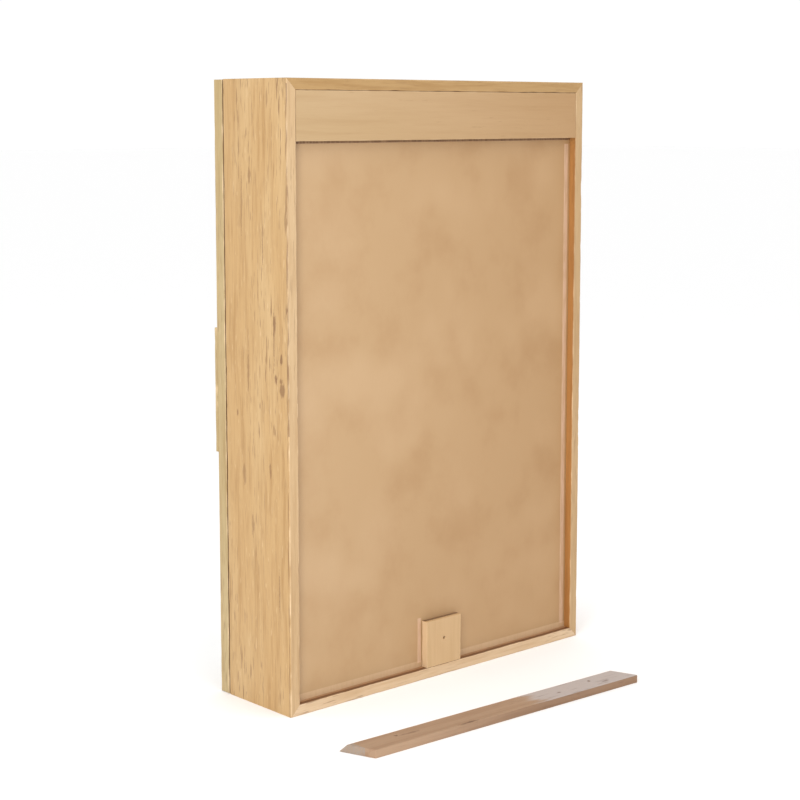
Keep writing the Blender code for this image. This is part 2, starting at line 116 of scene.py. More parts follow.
class Grain(Enum):
    """The way that the fibres of a board run."""

    UPRIGHT = "upright"
    ACROSS = "across"
    CLEAT = "along the loose cleat"

    def turn(self) -> tuple[float, float, float]:
        """The rotation that brings the fibres onto Z."""
        if self is Grain.UPRIGHT:
            return (0.0, 0.0, 0.0)
        flat = Matrix.Rotation(-math.pi / 2, 3, "Y")
        if self is Grain.CLEAT:
            flat = flat @ Matrix.Rotation(-WallCleat.turned, 3, "Z")
        return tuple(flat.to_euler("XYZ"))


@dataclass(frozen=True)
class Knot:
    """A knot, burr or split in a board, in the board's grain frame: place, size and darkness."""

    place: tuple[float, float, float]
    radius: float
    strength: float = 1.0
    stretch: float = 2.4


@dataclass(frozen=True)
class Line:
    """A band of colour laid along a plane, within limits: most are painted shade and painted light, the rest plain dark
    and grey marks.
    """

    axis: int
    place: float
    half_width: float
    share: float
    broken: float = 0.3
    within: tuple[tuple[int, float, float], ...] = ()
    # Dark brown, the colour of the painted shade lines and the other dark lines.
    colour: str = "#5c381e"


@dataclass(frozen=True)
class WoodFinish:
    """A wooden surface: straight grain with darker streaks, fine fibres, short marks and knots.

    Widths are across the grain and lengths along it, in millimetres.
    """

    name: str
    ground: str
    streak: str
    pale: str
    mark: str
    streak_width: float = 7.0
    streak_length: float = 170.0
    streak_share: float = 0.6
    broad_width: float = 60.0
    broad_length: float = 380.0
    broad_share: float = 0.5
    fibre_width: float = 1.3
    fibre_length: float = 45.0
    fibre_share: float = 0.3
    mark_width: float = 3.0
    mark_length: float = 26.0
    mark_share: float = 0.7
    mark_from: float = 0.66
    fleck_share: float = 0.0
    wander: float = 6.0
    bleached: str = ""
    bleached_from: float = 0.0
    bleached_to: float = 0.0
    bleached_above: float = 0.0
    # A colour multiplied in more and more across X between the two places below: painted shade for the key light's
    # falloff.
    painted_falloff: str = ""
    painted_falloff_from: float = 0.24
    painted_falloff_to: float = -0.24
    roughness: float = 0.55
    sheen_of_wax: float = 0.0
    relief: float = 0.12
    worn_colour: str = "#e6c9a0"
    worn_share: float = 0.8

    def build(
        self,
        name: str,
        grain: Grain,
        shift: Sequence[float] = (0.0, 0.0, 0.0),
        knots: Iterable[Knot] = (),
        lines: Iterable[Line] = (),
    ) -> bpy.types.Material:
        """Makes this finish for one board.

        Args:
            name: what the board is, which the material's name ends with.
            grain: the way that its fibres run.
            shift: where in the log the board is cut, in metres.
            knots: the knots that it has.
            lines: its bands of colour, most of them painted shade and painted light.

        Returns:
            The material.
        """
        material = bpy.data.materials.new(f"{self.name}, {name}")
        material.use_nodes = True
        tree = material.node_tree
        shader = tree.nodes["Principled BSDF"]
        place = add_node(tree, "ShaderNodeTexCoord").outputs["Object"]
        turned = add_node(
            tree,
            "ShaderNodeMapping",
            {"Vector": place, "Rotation": grain.turn(), "Location": tuple(shift)},
        ).outputs[0]
        grained = self._wander(tree, turned)
        streak = self._stretched(tree, grained, self.streak_width, self.streak_length, 4.0)
        broad = self._stretched(tree, grained, self.broad_width, self.broad_length, 2.0)
        fibre = self._stretched(tree, grained, self.fibre_width, self.fibre_length, 3.0)
        dash = self._stretched(tree, grained, self.mark_width, self.mark_length, 2.0)

        colour = self._mixed(tree, linear(self.ground), linear(self.streak), streak, 0.42, 0.72, self.streak_share)
        colour = self._mixed(tree, colour, linear(self.pale), broad, 0.42, 0.68, self.broad_share)
        colour = self._mixed(tree, colour, linear(self.streak), fibre, 0.45, 0.75, self.fibre_share)
        if self.fleck_share:
            fleck = self._stretched(tree, turned, self.mark_width, 0.6 * self.mark_length, 1.0)
            colour = self._mixed(tree, colour, linear(self.worn_colour), fleck, 0.66, 0.76, self.fleck_share)
        if self.bleached:
            colour = self._bleached(tree, turned, grained, colour)
        if self.painted_falloff:
            colour = self._with_painted_falloff(tree, place, colour)
        here = add_node(
            tree,
            "ShaderNodeMapRange",
            {"Value": broad, "From Min": 0.46, "From Max": 0.58, "To Min": 0.25, "To Max": 1.0},
        ).outputs[0]
        marked = add_node(
            tree,
            "ShaderNodeMapRange",
            {"Value": dash, "From Min": self.mark_from, "From Max": self.mark_from + 0.10, "To Max": self.mark_share},
            interpolation_type="SMOOTHSTEP",
        ).outputs[0]
        marks = add_node(tree, "ShaderNodeMath", {0: marked, 1: here}, operation="MULTIPLY").outputs[0]
        for knot in knots:
            marks = self._with_knot(tree, turned, marks, knot)
        colour = add_node(
            tree,
            "ShaderNodeMix",
            {0: marks, 6: colour, 7: linear(self.mark)},
            data_type="RGBA",
        ).outputs[2]
        worn = self._worn(tree, place)
        colour = add_node(
            tree,
            "ShaderNodeMix",
            {0: worn, 6: colour, 7: linear(self.worn_colour)},
            data_type="RGBA",
        ).outputs[2]
        for line in lines:
            colour = self._lined(tree, place, dash, colour, line)
        rough = add_node(
            tree,
            "ShaderNodeMapRange",
            {"Value": streak, "To Min": self.roughness - 0.07, "To Max": self.roughness + 0.09},
        ).outputs[0]
        hollow = add_node(tree, "ShaderNodeMath", {0: marks, 1: -1.2}, operation="MULTIPLY").outputs[0]
        height = add_node(tree, "ShaderNodeMath", {0: fibre, 1: hollow}, operation="ADD").outputs[0]
        bump = add_node(
            tree,
            "ShaderNodeBump",
            {"Strength": 0.6, "Distance": self.relief * MM, "Height": height},
        )
        tree.links.new(colour, shader.inputs["Base Color"])
        tree.links.new(rough, shader.inputs["Roughness"])
        tree.links.new(bump.outputs[0], shader.inputs["Normal"])
        shader.inputs["IOR"].default_value = 1.5
        shader.inputs["Coat Weight"].default_value = self.sheen_of_wax
        shader.inputs["Coat Roughness"].default_value = 0.35
        return material

    def _wander(self, tree: bpy.types.NodeTree, place: bpy.types.NodeSocket) -> bpy.types.NodeSocket:
        """Bends the grain gently, as a trunk does."""
        slow = add_node(tree, "ShaderNodeVectorMath", {0: place, 1: (5.0, 5.0, 2.2)}, operation="MULTIPLY")
        swing = add_node(
            tree,
            "ShaderNodeTexNoise",
            {"Vector": slow.outputs[0], "Scale": 1.0, "Detail": 2.0, "Roughness": 0.5},
        )
        size = self.wander * MM
        centred = add_node(
            tree,
            "ShaderNodeVectorMath",
            {0: swing.outputs["Color"], 1: (0.5, 0.5, 0.5)},
            operation="SUBTRACT",
        )
        offset = add_node(
            tree,
            "ShaderNodeVectorMath",
            {0: centred.outputs[0], 1: (4 * size, 4 * size, 0.0)},
            operation="MULTIPLY",
        )
        return add_node(
            tree,
            "ShaderNodeVectorMath",
            {0: place, 1: offset.outputs[0]},
            operation="ADD",
        ).outputs[0]

    def _stretched(
        self,
        tree: bpy.types.NodeTree,
        place: bpy.types.NodeSocket,
        width: float,
        length: float,
        detail: float,
    ) -> bpy.types.NodeSocket:
        """A noise drawn out along the grain.

        Args:
            tree: the material's nodes.
            place: the point, with the grain along Z.
            width: the pattern's width across the grain, in millimetres.
            length: its length along the grain, in millimetres.
            detail: how many finer copies are laid over it.

        Returns:
            The noise, from 0 to 1.
        """
        shares = (1 / (width * MM), 1 / (width * MM), 1 / (length * MM))
        scaled = add_node(tree, "ShaderNodeVectorMath", {0: place, 1: shares}, operation="MULTIPLY")
        return add_node(
            tree,
            "ShaderNodeTexNoise",
            {"Vector": scaled.outputs[0], "Scale": 1.0, "Detail": detail, "Roughness": 0.55},
        ).outputs[0]

    def _mixed(
        self,
        tree: bpy.types.NodeTree,
        under: Any,
        over: tuple[float, float, float, float],
        pattern: bpy.types.NodeSocket,
        start: float,
        end: float,
        share: float,
    ) -> bpy.types.NodeSocket:
        """Lays a colour over another where a pattern is high.

        Args:
            tree: the material's nodes.
            under: the colour beneath.
            over: the colour on top.
            pattern: from 0 to 1.
            start: where the pattern starts to show.
            end: where it shows in full.
            share: how much of the top colour shows there.

        Returns:
            The mixed colour.
        """
        shown = add_node(
            tree,
            "ShaderNodeMapRange",
            {"Value": pattern, "From Min": start, "From Max": end, "To Max": share},
            interpolation_type="SMOOTHSTEP",
        )
        return add_node(
            tree,
            "ShaderNodeMix",
            {0: shown.outputs[0], 6: under, 7: over},
            data_type="RGBA",
        ).outputs[2]

    def _with_knot(
        self,
        tree: bpy.types.NodeTree,
        place: bpy.types.NodeSocket,
        marks: bpy.types.NodeSocket,
        knot: Knot,
    ) -> bpy.types.NodeSocket:
        """Adds one knot, longer along the grain than across it, to the dark marks."""
        away = add_node(tree, "ShaderNodeVectorMath", {0: place, 1: knot.place}, operation="SUBTRACT")
        across, along = 2.2 / knot.radius, 0.45 / knot.radius
        drawn = add_node(tree, "ShaderNodeVectorMath", {0: place, 1: (across, across, along)}, operation="MULTIPLY")
        ragged = add_node(
            tree,
            "ShaderNodeTexNoise",
            {"Vector": drawn.outputs[0], "Scale": 1.0, "Detail": 3.0},
        )
        shaped = add_node(
            tree,
            "ShaderNodeVectorMath",
            {0: away.outputs[0], 1: (1 / knot.radius, 1 / knot.radius, 1 / knot.radius / knot.stretch)},
            operation="MULTIPLY",
        )
        distance = add_node(tree, "ShaderNodeVectorMath", {0: shaped.outputs[0]}, operation="LENGTH")
        rough_distance = add_node(
            tree,
            "ShaderNodeMath",
            {0: ragged.outputs[0], 1: 1.8, 2: distance.outputs["Value"]},
            operation="MULTIPLY_ADD",
        )
        inside = add_node(
            tree,
            "ShaderNodeMapRange",
            {"Value": rough_distance.outputs[0], "From Min": 1.80, "From Max": 1.35, "To Max": knot.strength},
            interpolation_type="SMOOTHSTEP",
        )
        return add_node(
            tree,
            "ShaderNodeMath",
            {0: marks, 1: inside.outputs[0]},
            operation="MAXIMUM",
        ).outputs[0]

    def _bleached(
        self,
        tree: bpy.types.NodeTree,
        place: bpy.types.NodeSocket,
        grained: bpy.types.NodeSocket,
        colour: bpy.types.NodeSocket,
    ) -> bpy.types.NodeSocket:
        """Greys one end of a board's top face in a ragged way, as weather does.

        Args:
            tree: the material's nodes.
            place: the point, with the grain along Z.
            grained: the same, bent as the grain is.
            colour: the colour beneath.

        Returns:
            The colour with that end greyed.
        """
        ragged = self._stretched(tree, grained, 9.0, 60.0, 3.0)
        apart = add_node(tree, "ShaderNodeSeparateXYZ", {0: place})
        moved = add_node(
            tree,
            "ShaderNodeMath",
            {0: ragged, 1: 0.10, 2: apart.outputs[2]},
            operation="MULTIPLY_ADD",
        )
        shown = add_node(
            tree,
            "ShaderNodeMapRange",
            {
                "Value": moved.outputs[0],
                "From Min": self.bleached_from + 0.05,
                "From Max": self.bleached_to + 0.05,
                "To Max": 0.85,
            },
            interpolation_type="SMOOTHSTEP",
        )
        on_top = add_node(
            tree,
            "ShaderNodeMapRange",
            {"Value": apart.outputs[0], "From Min": -self.bleached_above, "From Max": -self.bleached_above - 0.0005},
        )
        both = add_node(
            tree,
            "ShaderNodeMath",
            {0: shown.outputs[0], 1: on_top.outputs[0]},
            operation="MULTIPLY",
        )
        return add_node(
            tree,
            "ShaderNodeMix",
            {0: both.outputs[0], 6: colour, 7: linear(self.bleached)},
            data_type="RGBA",
        ).outputs[2]

    def _with_painted_falloff(
        self,
        tree: bpy.types.NodeTree,
        place: bpy.types.NodeSocket,
        colour: bpy.types.NodeSocket,
    ) -> bpy.types.NodeSocket:
        """Darkens the colour little by little across the cabinet towards -X, away from the key light: painted shade for
        the light's falloff.
        """
        apart = add_node(tree, "ShaderNodeSeparateXYZ", {0: place})
        share = add_node(
            tree,
            "ShaderNodeMapRange",
            {"Value": apart.outputs[0], "From Min": self.painted_falloff_from, "From Max": self.painted_falloff_to},
        )
        return add_node(
            tree,
            "ShaderNodeMix",
            {0: share.outputs[0], 6: colour, 7: linear(self.painted_falloff)},
            data_type="RGBA",
            blend_type="MULTIPLY",
        ).outputs[2]

    def _lined(
        self,
        tree: bpy.types.NodeTree,
        place: bpy.types.NodeSocket,
        dash: bpy.types.NodeSocket,
        colour: bpy.types.NodeSocket,
        line: Line,
    ) -> bpy.types.NodeSocket:
        """Lays one line over the colour.

        Args:
            tree: the material's nodes.
            place: the point on the object.
            dash: the pattern that breaks the line up.
            colour: the colour beneath.
            line: where the line is.

        Returns:
            The colour with the line on it.
        """
        apart = add_node(tree, "ShaderNodeSeparateXYZ", {0: place})
        share = add_node(
            tree,
            "ShaderNodeMapRange",
            {
                "Value": dash,
                "From Min": 0.40,
                "From Max": 0.56,
                "To Min": line.share * (1 - line.broken),
                "To Max": line.share,
            },
        ).outputs[0]
        bands = [(line.axis, line.place, line.half_width)]
        bands += [(axis, (low + high) / 2, (high - low) / 2) for axis, low, high in line.within]
        for axis, middle, half in bands:
            inside = add_node(
                tree,
                "ShaderNodeMath",
                {0: apart.outputs[axis], 1: middle, 2: half},
                operation="COMPARE",
            )
            share = add_node(
                tree,
                "ShaderNodeMath",
                {0: share, 1: inside.outputs[0]},
                operation="MULTIPLY",
            ).outputs[0]
        return add_node(
            tree,
            "ShaderNodeMix",
            {0: share, 6: colour, 7: linear(line.colour)},
            data_type="RGBA",
        ).outputs[2]

    def _worn(self, tree: bpy.types.NodeTree, place: bpy.types.NodeSocket) -> bpy.types.NodeSocket:
        """How far the colour is rubbed off an edge: in patches along the worn arrises."""
        edge = add_node(tree, "ShaderNodeAttribute", attribute_name=WORN)
        patch = add_node(
            tree,
            "ShaderNodeTexNoise",
            {"Vector": place, "Scale": 32.0, "Detail": 4.0},
        )
        shown = add_node(
            tree,
            "ShaderNodeMapRange",
            {"Value": patch.outputs[0], "From Min": 0.46, "From Max": 0.64, "To Max": self.worn_share},
        )
        return add_node(
            tree,
            "ShaderNodeMath",
            {0: edge.outputs["Fac"], 1: shown.outputs[0]},
            operation="MULTIPLY",
        ).outputs[0]


# Pine boards, planed and brushed with a thin honey wax that sits darker in the grain: warm
# pale ground, brown streaks and short dark marks, edges rubbed back to the pale wood.
WAXED_PINE = WoodFinish(
    name="waxed brushed pine",
    ground="#bc9764",
    streak="#a07845",
    pale="#ccae80",
    mark="#6e4826",
    streak_width=6.0,
    streak_length=100.0,
    streak_share=0.6,
    fibre_width=2.1,
    fibre_length=40.0,
    fibre_share=0.36,
    mark_width=2.4,
    mark_length=30.0,
    mark_from=0.575,
    mark_share=0.62,
    fleck_share=0.3,
    sheen_of_wax=0.05,
)
# The sawn back edges of those boards, which took less wax: paler and greyer, and darkened towards -X as painted shade
# for the key light's falloff.
EDGE_PINE = replace(WAXED_PINE, name="pale edge of pine", ground="#c1a177", streak="#ae8b60", pale="#ccaf88", fleck_share=0.1, mark_share=0.3, painted_falloff="#f2ede4")
# The door's sticks, from a greener log than the case.
DOOR_PINE = replace(WAXED_PINE, name="waxed door pine", ground="#b1996b", streak="#9a7c4b", pale="#bea97f", fleck_share=0.15, mark_share=0.4)
# The same pine on the board faces inside the recess, darkened to honey brown: painted shade where the recess lies in
# shadow.
RECESS_SHADE_PINE = WoodFinish(
    name="pine darkened as painted recess shade",
    ground="#b07a40",
    streak="#8f5d2b",
    pale="#bb864b",
    mark="#5d3a1c",
    roughness=0.5,
    worn_share=0.2,
)
# The up-facing ledges of that recess, darkened further to brown: painted shade on the ledges.
LEDGE_SHADE_PINE = replace(RECESS_SHADE_PINE, name="pine darkened as painted ledge shade", ground="#714926", streak="#5b381c", pale="#815631")
# Rotary-cut plywood face, sanded smooth and wiped with the same wax: cloudy, hardly any grain, and darkened towards -X
# as painted shade for the key light's falloff.
SANDED_PLY = WoodFinish(
    name="sanded plywood face",
    ground="#b7966e",
    streak="#ac885f",
    pale="#bf9f79",
    mark="#9c7850",
    streak_width=62.0,
    streak_length=70.0,
    streak_share=0.6,
    broad_width=130.0,
    broad_length=150.0,
    broad_share=0.7,
    fibre_width=1.6,
    fibre_length=16.0,
    fibre_share=0.06,
    mark_share=0.12,
    mark_from=0.70,
    painted_falloff="#f2e9dc",
    roughness=0.6,
    relief=0.04,
)
# Planed pine rail and block, waxed once: plain, straight, a little paler than the boards; darkened towards -X as
# painted shade for the key light's falloff, which the block's copy leaves out.
PLANED_PINE = WoodFinish(
    name="planed pine",
    ground="#b5976e",
    streak="#a9895f",
    pale="#bc9f79",
    mark="#917046",
    painted_falloff="#f2e4d6",
    worn_share=0.2,
    streak_share=0.45,
    fibre_share=0.2,
    mark_share=0.35,
    relief=0.06,
)
# Bare sawn pine, left unwaxed: pinkish grey-brown, dry, bleached grey towards one end.
RAW_PINE = WoodFinish(
    name="bare sawn pine",
    ground="#a3856a",
    streak="#8f6d51",
    pale="#b0957c",
    mark="#583a26",
    mark_width=2.6,
    mark_length=34.0,
    streak_share=0.55,
    streak_width=9.0,
    mark_from=0.60,
    mark_share=0.4,
    roughness=0.75,
    worn_colour="#d8c8b8",
    bleached="#b5aca8",
    bleached_from=0.012,
    bleached_to=-0.022,
    bleached_above=0.0092,
    relief=0.15,
)


@dataclass(frozen=True)
class Hardboard:
    """Pressed brown fibreboard: dull, with the specks of its fibres."""

    colour: str = "#6b4a30"
    fleck: str = "#8a6543"
    fleck_size: float = 1.2

    def build(self) -> bpy.types.Material:
        """Makes the material."""
        material = bpy.data.materials.new("pressed hardboard")
        material.use_nodes = True
        tree = material.node_tree
        shader = tree.nodes["Principled BSDF"]
        place = add_node(tree, "ShaderNodeTexCoord").outputs["Object"]
        specks = add_node(
            tree,
            "ShaderNodeTexNoise",
            {"Vector": place, "Scale": 1 / (self.fleck_size * MM), "Detail": 3.0},
        )
        colour = add_node(
            tree,
            "ShaderNodeMix",
            {0: specks.outputs[0], 6: linear(self.colour), 7: linear(self.fleck)},
            data_type="RGBA",
        )
        bump = add_node(
            tree,
            "ShaderNodeBump",
            {"Strength": 0.4, "Distance": 0.1 * MM, "Height": specks.outputs[0]},
        )
        tree.links.new(colour.outputs[2], shader.inputs["Base Color"])
        tree.links.new(bump.outputs[0], shader.inputs["Normal"])
        shader.inputs["Roughness"].default_value = 0.8
        return material


@dataclass(frozen=True)
class SilveredGlass:
    """Float glass silvered on its back: a clear mirror, with the faint haze of a wiped face."""

    colour: str = "#e9eeec"
    haze: float = 0.02

    def build(self) -> bpy.types.Material:
        """Makes the material."""
        material = bpy.data.materials.new("silvered glass")
        material.use_nodes = True
        tree = material.node_tree
        shader = tree.nodes["Principled BSDF"]
        place = add_node(tree, "ShaderNodeTexCoord").outputs["Object"]
        wipes = add_node(
            tree,
            "ShaderNodeTexNoise",
            {"Vector": place, "Scale": 9.0, "Detail": 4.0, "Distortion": 0.6},
        )
        rough = add_node(
            tree,
            "ShaderNodeMapRange",
            {"Value": wipes.outputs[0], "From Min": 0.4, "From Max": 0.8, "To Min": self.haze, "To Max": 3 * self.haze},
        )
        shader.inputs["Base Color"].default_value = linear(self.colour)
        shader.inputs["Metallic"].default_value = 1.0
        tree.links.new(rough.outputs[0], shader.inputs["Roughness"])
        return material


@dataclass(frozen=True)
class PlatedSteel:
    """Bright zinc plate on pressed steel: grey, satin, with fine drawn lines."""

    colour: str = "#c4c3bd"
    roughness: float = 0.32
    line: float = 0.25

    def build(self) -> bpy.types.Material:
        """Makes the material."""
        material = bpy.data.materials.new("zinc plated steel")
        material.use_nodes = True
        tree = material.node_tree
        shader = tree.nodes["Principled BSDF"]
        place = add_node(tree, "ShaderNodeTexCoord").outputs["Object"]
        line = 1 / (self.line * MM)
        scaled = add_node(
            tree,
            "ShaderNodeVectorMath",
            {0: place, 1: (line, line, line / 30)},
            operation="MULTIPLY",
        )
        drawn = add_node(tree, "ShaderNodeTexNoise", {"Vector": scaled.outputs[0], "Scale": 1.0, "Detail": 2.0})
        rough = add_node(
            tree,
            "ShaderNodeMapRange",
            {"Value": drawn.outputs[0], "To Min": self.roughness - 0.1, "To Max": self.roughness + 0.15},
        )
        bump = add_node(
            tree,
            "ShaderNodeBump",
            {"Strength": 0.3, "Distance": 0.02 * MM, "Height": drawn.outputs[0]},
        )
        shader.inputs["Base Color"].default_value = linear(self.colour)
        shader.inputs["Metallic"].default_value = 1.0
        tree.links.new(rough.outputs[0], shader.inputs["Roughness"])
        tree.links.new(bump.outputs[0], shader.inputs["Normal"])
        return material


@dataclass(frozen=True)
class Moulded:
    """A moulded plastic or rubber: one colour, with the fine orange-peel of its mould."""

    name: str
    colour: str
    roughness: float
    peel: float = 0.8

    def build(self) -> bpy.types.Material:
        """Makes the material."""
        material = bpy.data.materials.new(self.name)
        material.use_nodes = True
        tree = material.node_tree
        shader = tree.nodes["Principled BSDF"]
        place = add_node(tree, "ShaderNodeTexCoord").outputs["Object"]
        peel = add_node(
            tree,
            "ShaderNodeTexNoise",
            {"Vector": place, "Scale": 1 / (self.peel * MM), "Detail": 2.0},
        )
        rough = add_node(
            tree,
            "ShaderNodeMapRange",
            {"Value": peel.outputs[0], "To Min": self.roughness - 0.05, "To Max": self.roughness + 0.08},
        )
        bump = add_node(
            tree,
            "ShaderNodeBump",
            {"Strength": 0.3, "Distance": 0.03 * MM, "Height": peel.outputs[0]},
        )
        shader.inputs["Base Color"].default_value = linear(self.colour)
        tree.links.new(rough.outputs[0], shader.inputs["Roughness"])
        tree.links.new(bump.outputs[0], shader.inputs["Normal"])
        return material


Rule = Callable[[bmesh.types.BMEdge], bool]


def copy_of_node(node: str) -> bmesh.types.BMesh:
    """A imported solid's shape as one closed mesh, with its flat faces whole again.

    Args:
        node: the solid's name.

    Returns:
        The mesh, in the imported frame.
    """
    bm = bmesh.new()
    bm.from_mesh(bpy.data.objects[node].data)
    for layer in list(bm.loops.layers.uv):
        bm.loops.layers.uv.remove(layer)
    bmesh.ops.remove_doubles(bm, verts=bm.verts, dist=SAME_POINT)
    bmesh.ops.dissolve_limit(
        bm,
        angle_limit=math.radians(1.0),
        use_dissolve_boundaries=False,
        verts=bm.verts,
        edges=bm.edges,
    )
    bmesh.ops.recalc_face_normals(bm, faces=bm.faces)
    return bm


def on_two_planes(low: Vector, high: Vector) -> Rule:
    """The rule that picks the edges of a box: those in two of its planes at once.

    Args:
        low: the box's lowest corner.
        high: its highest corner.

    Returns:
        A function that says whether an edge is one of them.
    """

    def planes(point: Vector) -> set[tuple[int, int]]:
        """The planes that a point is in, by axis and side."""
        found = {(axis, 0) for axis in range(3) if abs(point[axis] - low[axis]) < ON_PLANE}
        return found | {(axis, 1) for axis in range(3) if abs(point[axis] - high[axis]) < ON_PLANE}

    def chosen(edge: bmesh.types.BMEdge) -> bool:
        """Whether an edge is in two planes."""
        return len(planes(edge.verts[0].co) & planes(edge.verts[1].co)) >= 2

    return chosen


def sharper_than(angle: float, at_least: float = 0.0) -> Rule:
    """The rule that picks the edges where two faces meet at more than an angle.

    Args:
        angle: the least angle, in degrees.
        at_least: the least length of such an edge, in metres.

    Returns:
        A function that says whether an edge is one of them.
    """

    def chosen(edge: bmesh.types.BMEdge) -> bool:
        """Whether an edge is sharp and long enough."""
        if len(edge.link_faces) != 2 or edge.calc_length() < at_least:
            return False
        return edge.calc_face_angle() > math.radians(angle)

    return chosen


def round_off(bm: bmesh.types.BMesh, rule: Rule, width: float, segments: int = 3) -> None:
    """Rounds the edges that a rule picks.

    Args:
        bm: the mesh.
        rule: says whether an edge is rounded.
        width: how far the rounding reaches from the edge, in metres.
        segments: how many faces the rounding has.
    """
    edges = [edge for edge in bm.edges if rule(edge)]
    bmesh.ops.bevel(
        bm,
        geom=edges,
        offset=width,
        offset_type="OFFSET",
        segments=segments,
        profile=0.5,
        affect="EDGES",
        clamp_overlap=True,
    )


def slice_up(bm: bmesh.types.BMesh, axis: Vector, start: float, end: float, step: float) -> None:
    """Cuts a mesh's faces at equal steps, so that its edges can be worn.

    Args:
        bm: the mesh.
        axis: the direction along which the cuts follow each other.
        start: where they start along it, in metres.
        end: where they end.
        step: how far apart they are.
    """
    count = max(2, round((end - start) / step))
    for i in range(1, count):
        place = axis * (start + (end - start) * i / count)
        bmesh.ops.bisect_plane(
            bm,
            geom=bm.verts[:] + bm.edges[:] + bm.faces[:],
            dist=ON_PLANE,
            plane_co=place,
            plane_no=axis,
        )


def part_off(bm: bmesh.types.BMesh, low: Vector, high: Vector, along: int, inset: float) -> None:
    """Cuts lines beside a box's arrises, so that wear on them stays near them.

    Args:
        bm: the mesh.
        low: the box's lowest corner.
        high: its highest corner.
        along: the axis that the arrises run along.
        inset: how far in from the arrises the lines are, in metres.
    """
    for across in range(3):
        if across == along or high[across] - low[across] < 3 * inset:
            continue
        normal = Vector([float(i == across) for i in range(3)])
        for place in (low[across] + inset, high[across] - inset):
            bmesh.ops.bisect_plane(
                bm,
                geom=bm.verts[:] + bm.edges[:] + bm.faces[:],
                dist=ON_PLANE,
                plane_co=normal * place,
                plane_no=normal,
            )


@dataclass
class Wear:
    """How the arrises of a board are worn: rubbed all along, with nibbles here and there."""

    seed: int
    reach: float = 0.0016
    rub: float = 0.00035
    nibbles: int = 14
    nibble_depth: float = 0.0009
    nibble_length: float = 0.006

    def apply(self, bm: bmesh.types.BMesh, along: int, lines: Sequence[tuple[Vector, Vector]]) -> None:
        """Rubs the mesh's points near each arris inwards and marks how worn they are.

        Args:
            bm: the mesh, already cut into steps along its length.
            along: the axis that the arrises run along.
            lines: a point on each arris, and the direction from it into the wood.
        """
        draws = random.Random(self.seed)
        layer = bm.verts.layers.float.new(WORN)
        low = min(vert.co[along] for vert in bm.verts)
        high = max(vert.co[along] for vert in bm.verts)
        for number, (corner, inward) in enumerate(lines):
            dents = [
                (draws.uniform(low, high), draws.uniform(0.3, 1.0) * self.nibble_depth, draws.uniform(0.4, 1.4))
                for _ in range(self.nibbles)
            ]
            for vert in bm.verts:
                away = vert.co - corner
                away[along] = 0.0
                near = 1.0 - away.length / self.reach
                if near <= 0.0:
                    continue
                place = vert.co[along]
                wave = noise.noise(Vector((place * 60.0, number * 9.0, self.seed)))
                depth = self.rub * (0.5 + 0.5 * wave)
                for middle, deep, width in dents:
                    share = (place - middle) / (width * self.nibble_length)
                    depth += deep * math.exp(-share * share)
                vert.co += inward * depth * near
                vert[layer] = max(vert[layer], min(1.0, 0.25 + near + 300.0 * depth))


@dataclass
class SubAssembly:
    """What all sub-assemblies share: the frame's nodes and the last steps on each piece."""

    nodes: dict[str, bpy.types.Object]
    made: list[str] = field(default_factory=list)

    def piece(
        self,
        bm: bmesh.types.BMesh,
        name: str,
        material: bpy.types.Material | Sequence[bpy.types.Material],
        body: str,
        slot: str,
        replaced: Sequence[str],
        smooth: float = 32.0,
    ) -> bpy.types.Object:
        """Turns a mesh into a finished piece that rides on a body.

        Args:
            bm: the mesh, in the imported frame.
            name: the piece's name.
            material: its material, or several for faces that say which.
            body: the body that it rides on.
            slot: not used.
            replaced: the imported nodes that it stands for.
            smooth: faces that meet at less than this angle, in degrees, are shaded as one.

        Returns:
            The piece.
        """
        mesh = bpy.data.meshes.new(name)
        bm.to_mesh(mesh)
        bm.free()
        return self.finished(mesh, name, material, body, slot, replaced, smooth)

    def finished(
        self,
        mesh: bpy.types.Mesh,
        name: str,
        material: bpy.types.Material | Sequence[bpy.types.Material],
        body: str,
        slot: str,
        replaced: Sequence[str],
        smooth: float = 32.0,
    ) -> bpy.types.Object:
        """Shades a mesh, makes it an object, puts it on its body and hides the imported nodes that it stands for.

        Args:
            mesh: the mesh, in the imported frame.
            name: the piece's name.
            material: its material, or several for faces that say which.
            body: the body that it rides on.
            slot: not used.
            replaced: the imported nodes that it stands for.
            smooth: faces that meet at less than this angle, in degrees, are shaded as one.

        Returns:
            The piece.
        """
        piece = bpy.data.objects.new(name, mesh)
        bpy.context.scene.collection.objects.link(piece)
        for each in [material] if isinstance(material, bpy.types.Material) else material:
            mesh.materials.append(each)
        mesh.shade_smooth()
        mesh.set_sharp_from_angle(angle=math.radians(smooth))
        even = piece.modifiers.new("even shading", "WEIGHTED_NORMAL")
        even.keep_sharp = True
        bpy.context.view_layer.update()
        seen = piece.evaluated_get(bpy.context.evaluated_depsgraph_get())
        shaded = bpy.data.meshes.new_from_object(seen)
        shaded.name = name
        piece.modifiers.clear()
        piece.data = shaded
        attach(piece, body)
        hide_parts(*replaced)
        self.made.append(name)
        return piece

    def dress(self, node: str, material: bpy.types.Material) -> None:
        """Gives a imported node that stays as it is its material."""
        kept = self.nodes[node]
        if not kept.material_slots:
            kept.data.materials.append(material)
        for place in kept.material_slots:
            place.material = material
        self.made.append(node)

    def report(self) -> None:
        """Says which pieces were made."""
        for name in self.made:
            LOG.info("%s: %s", type(self).__name__, name)


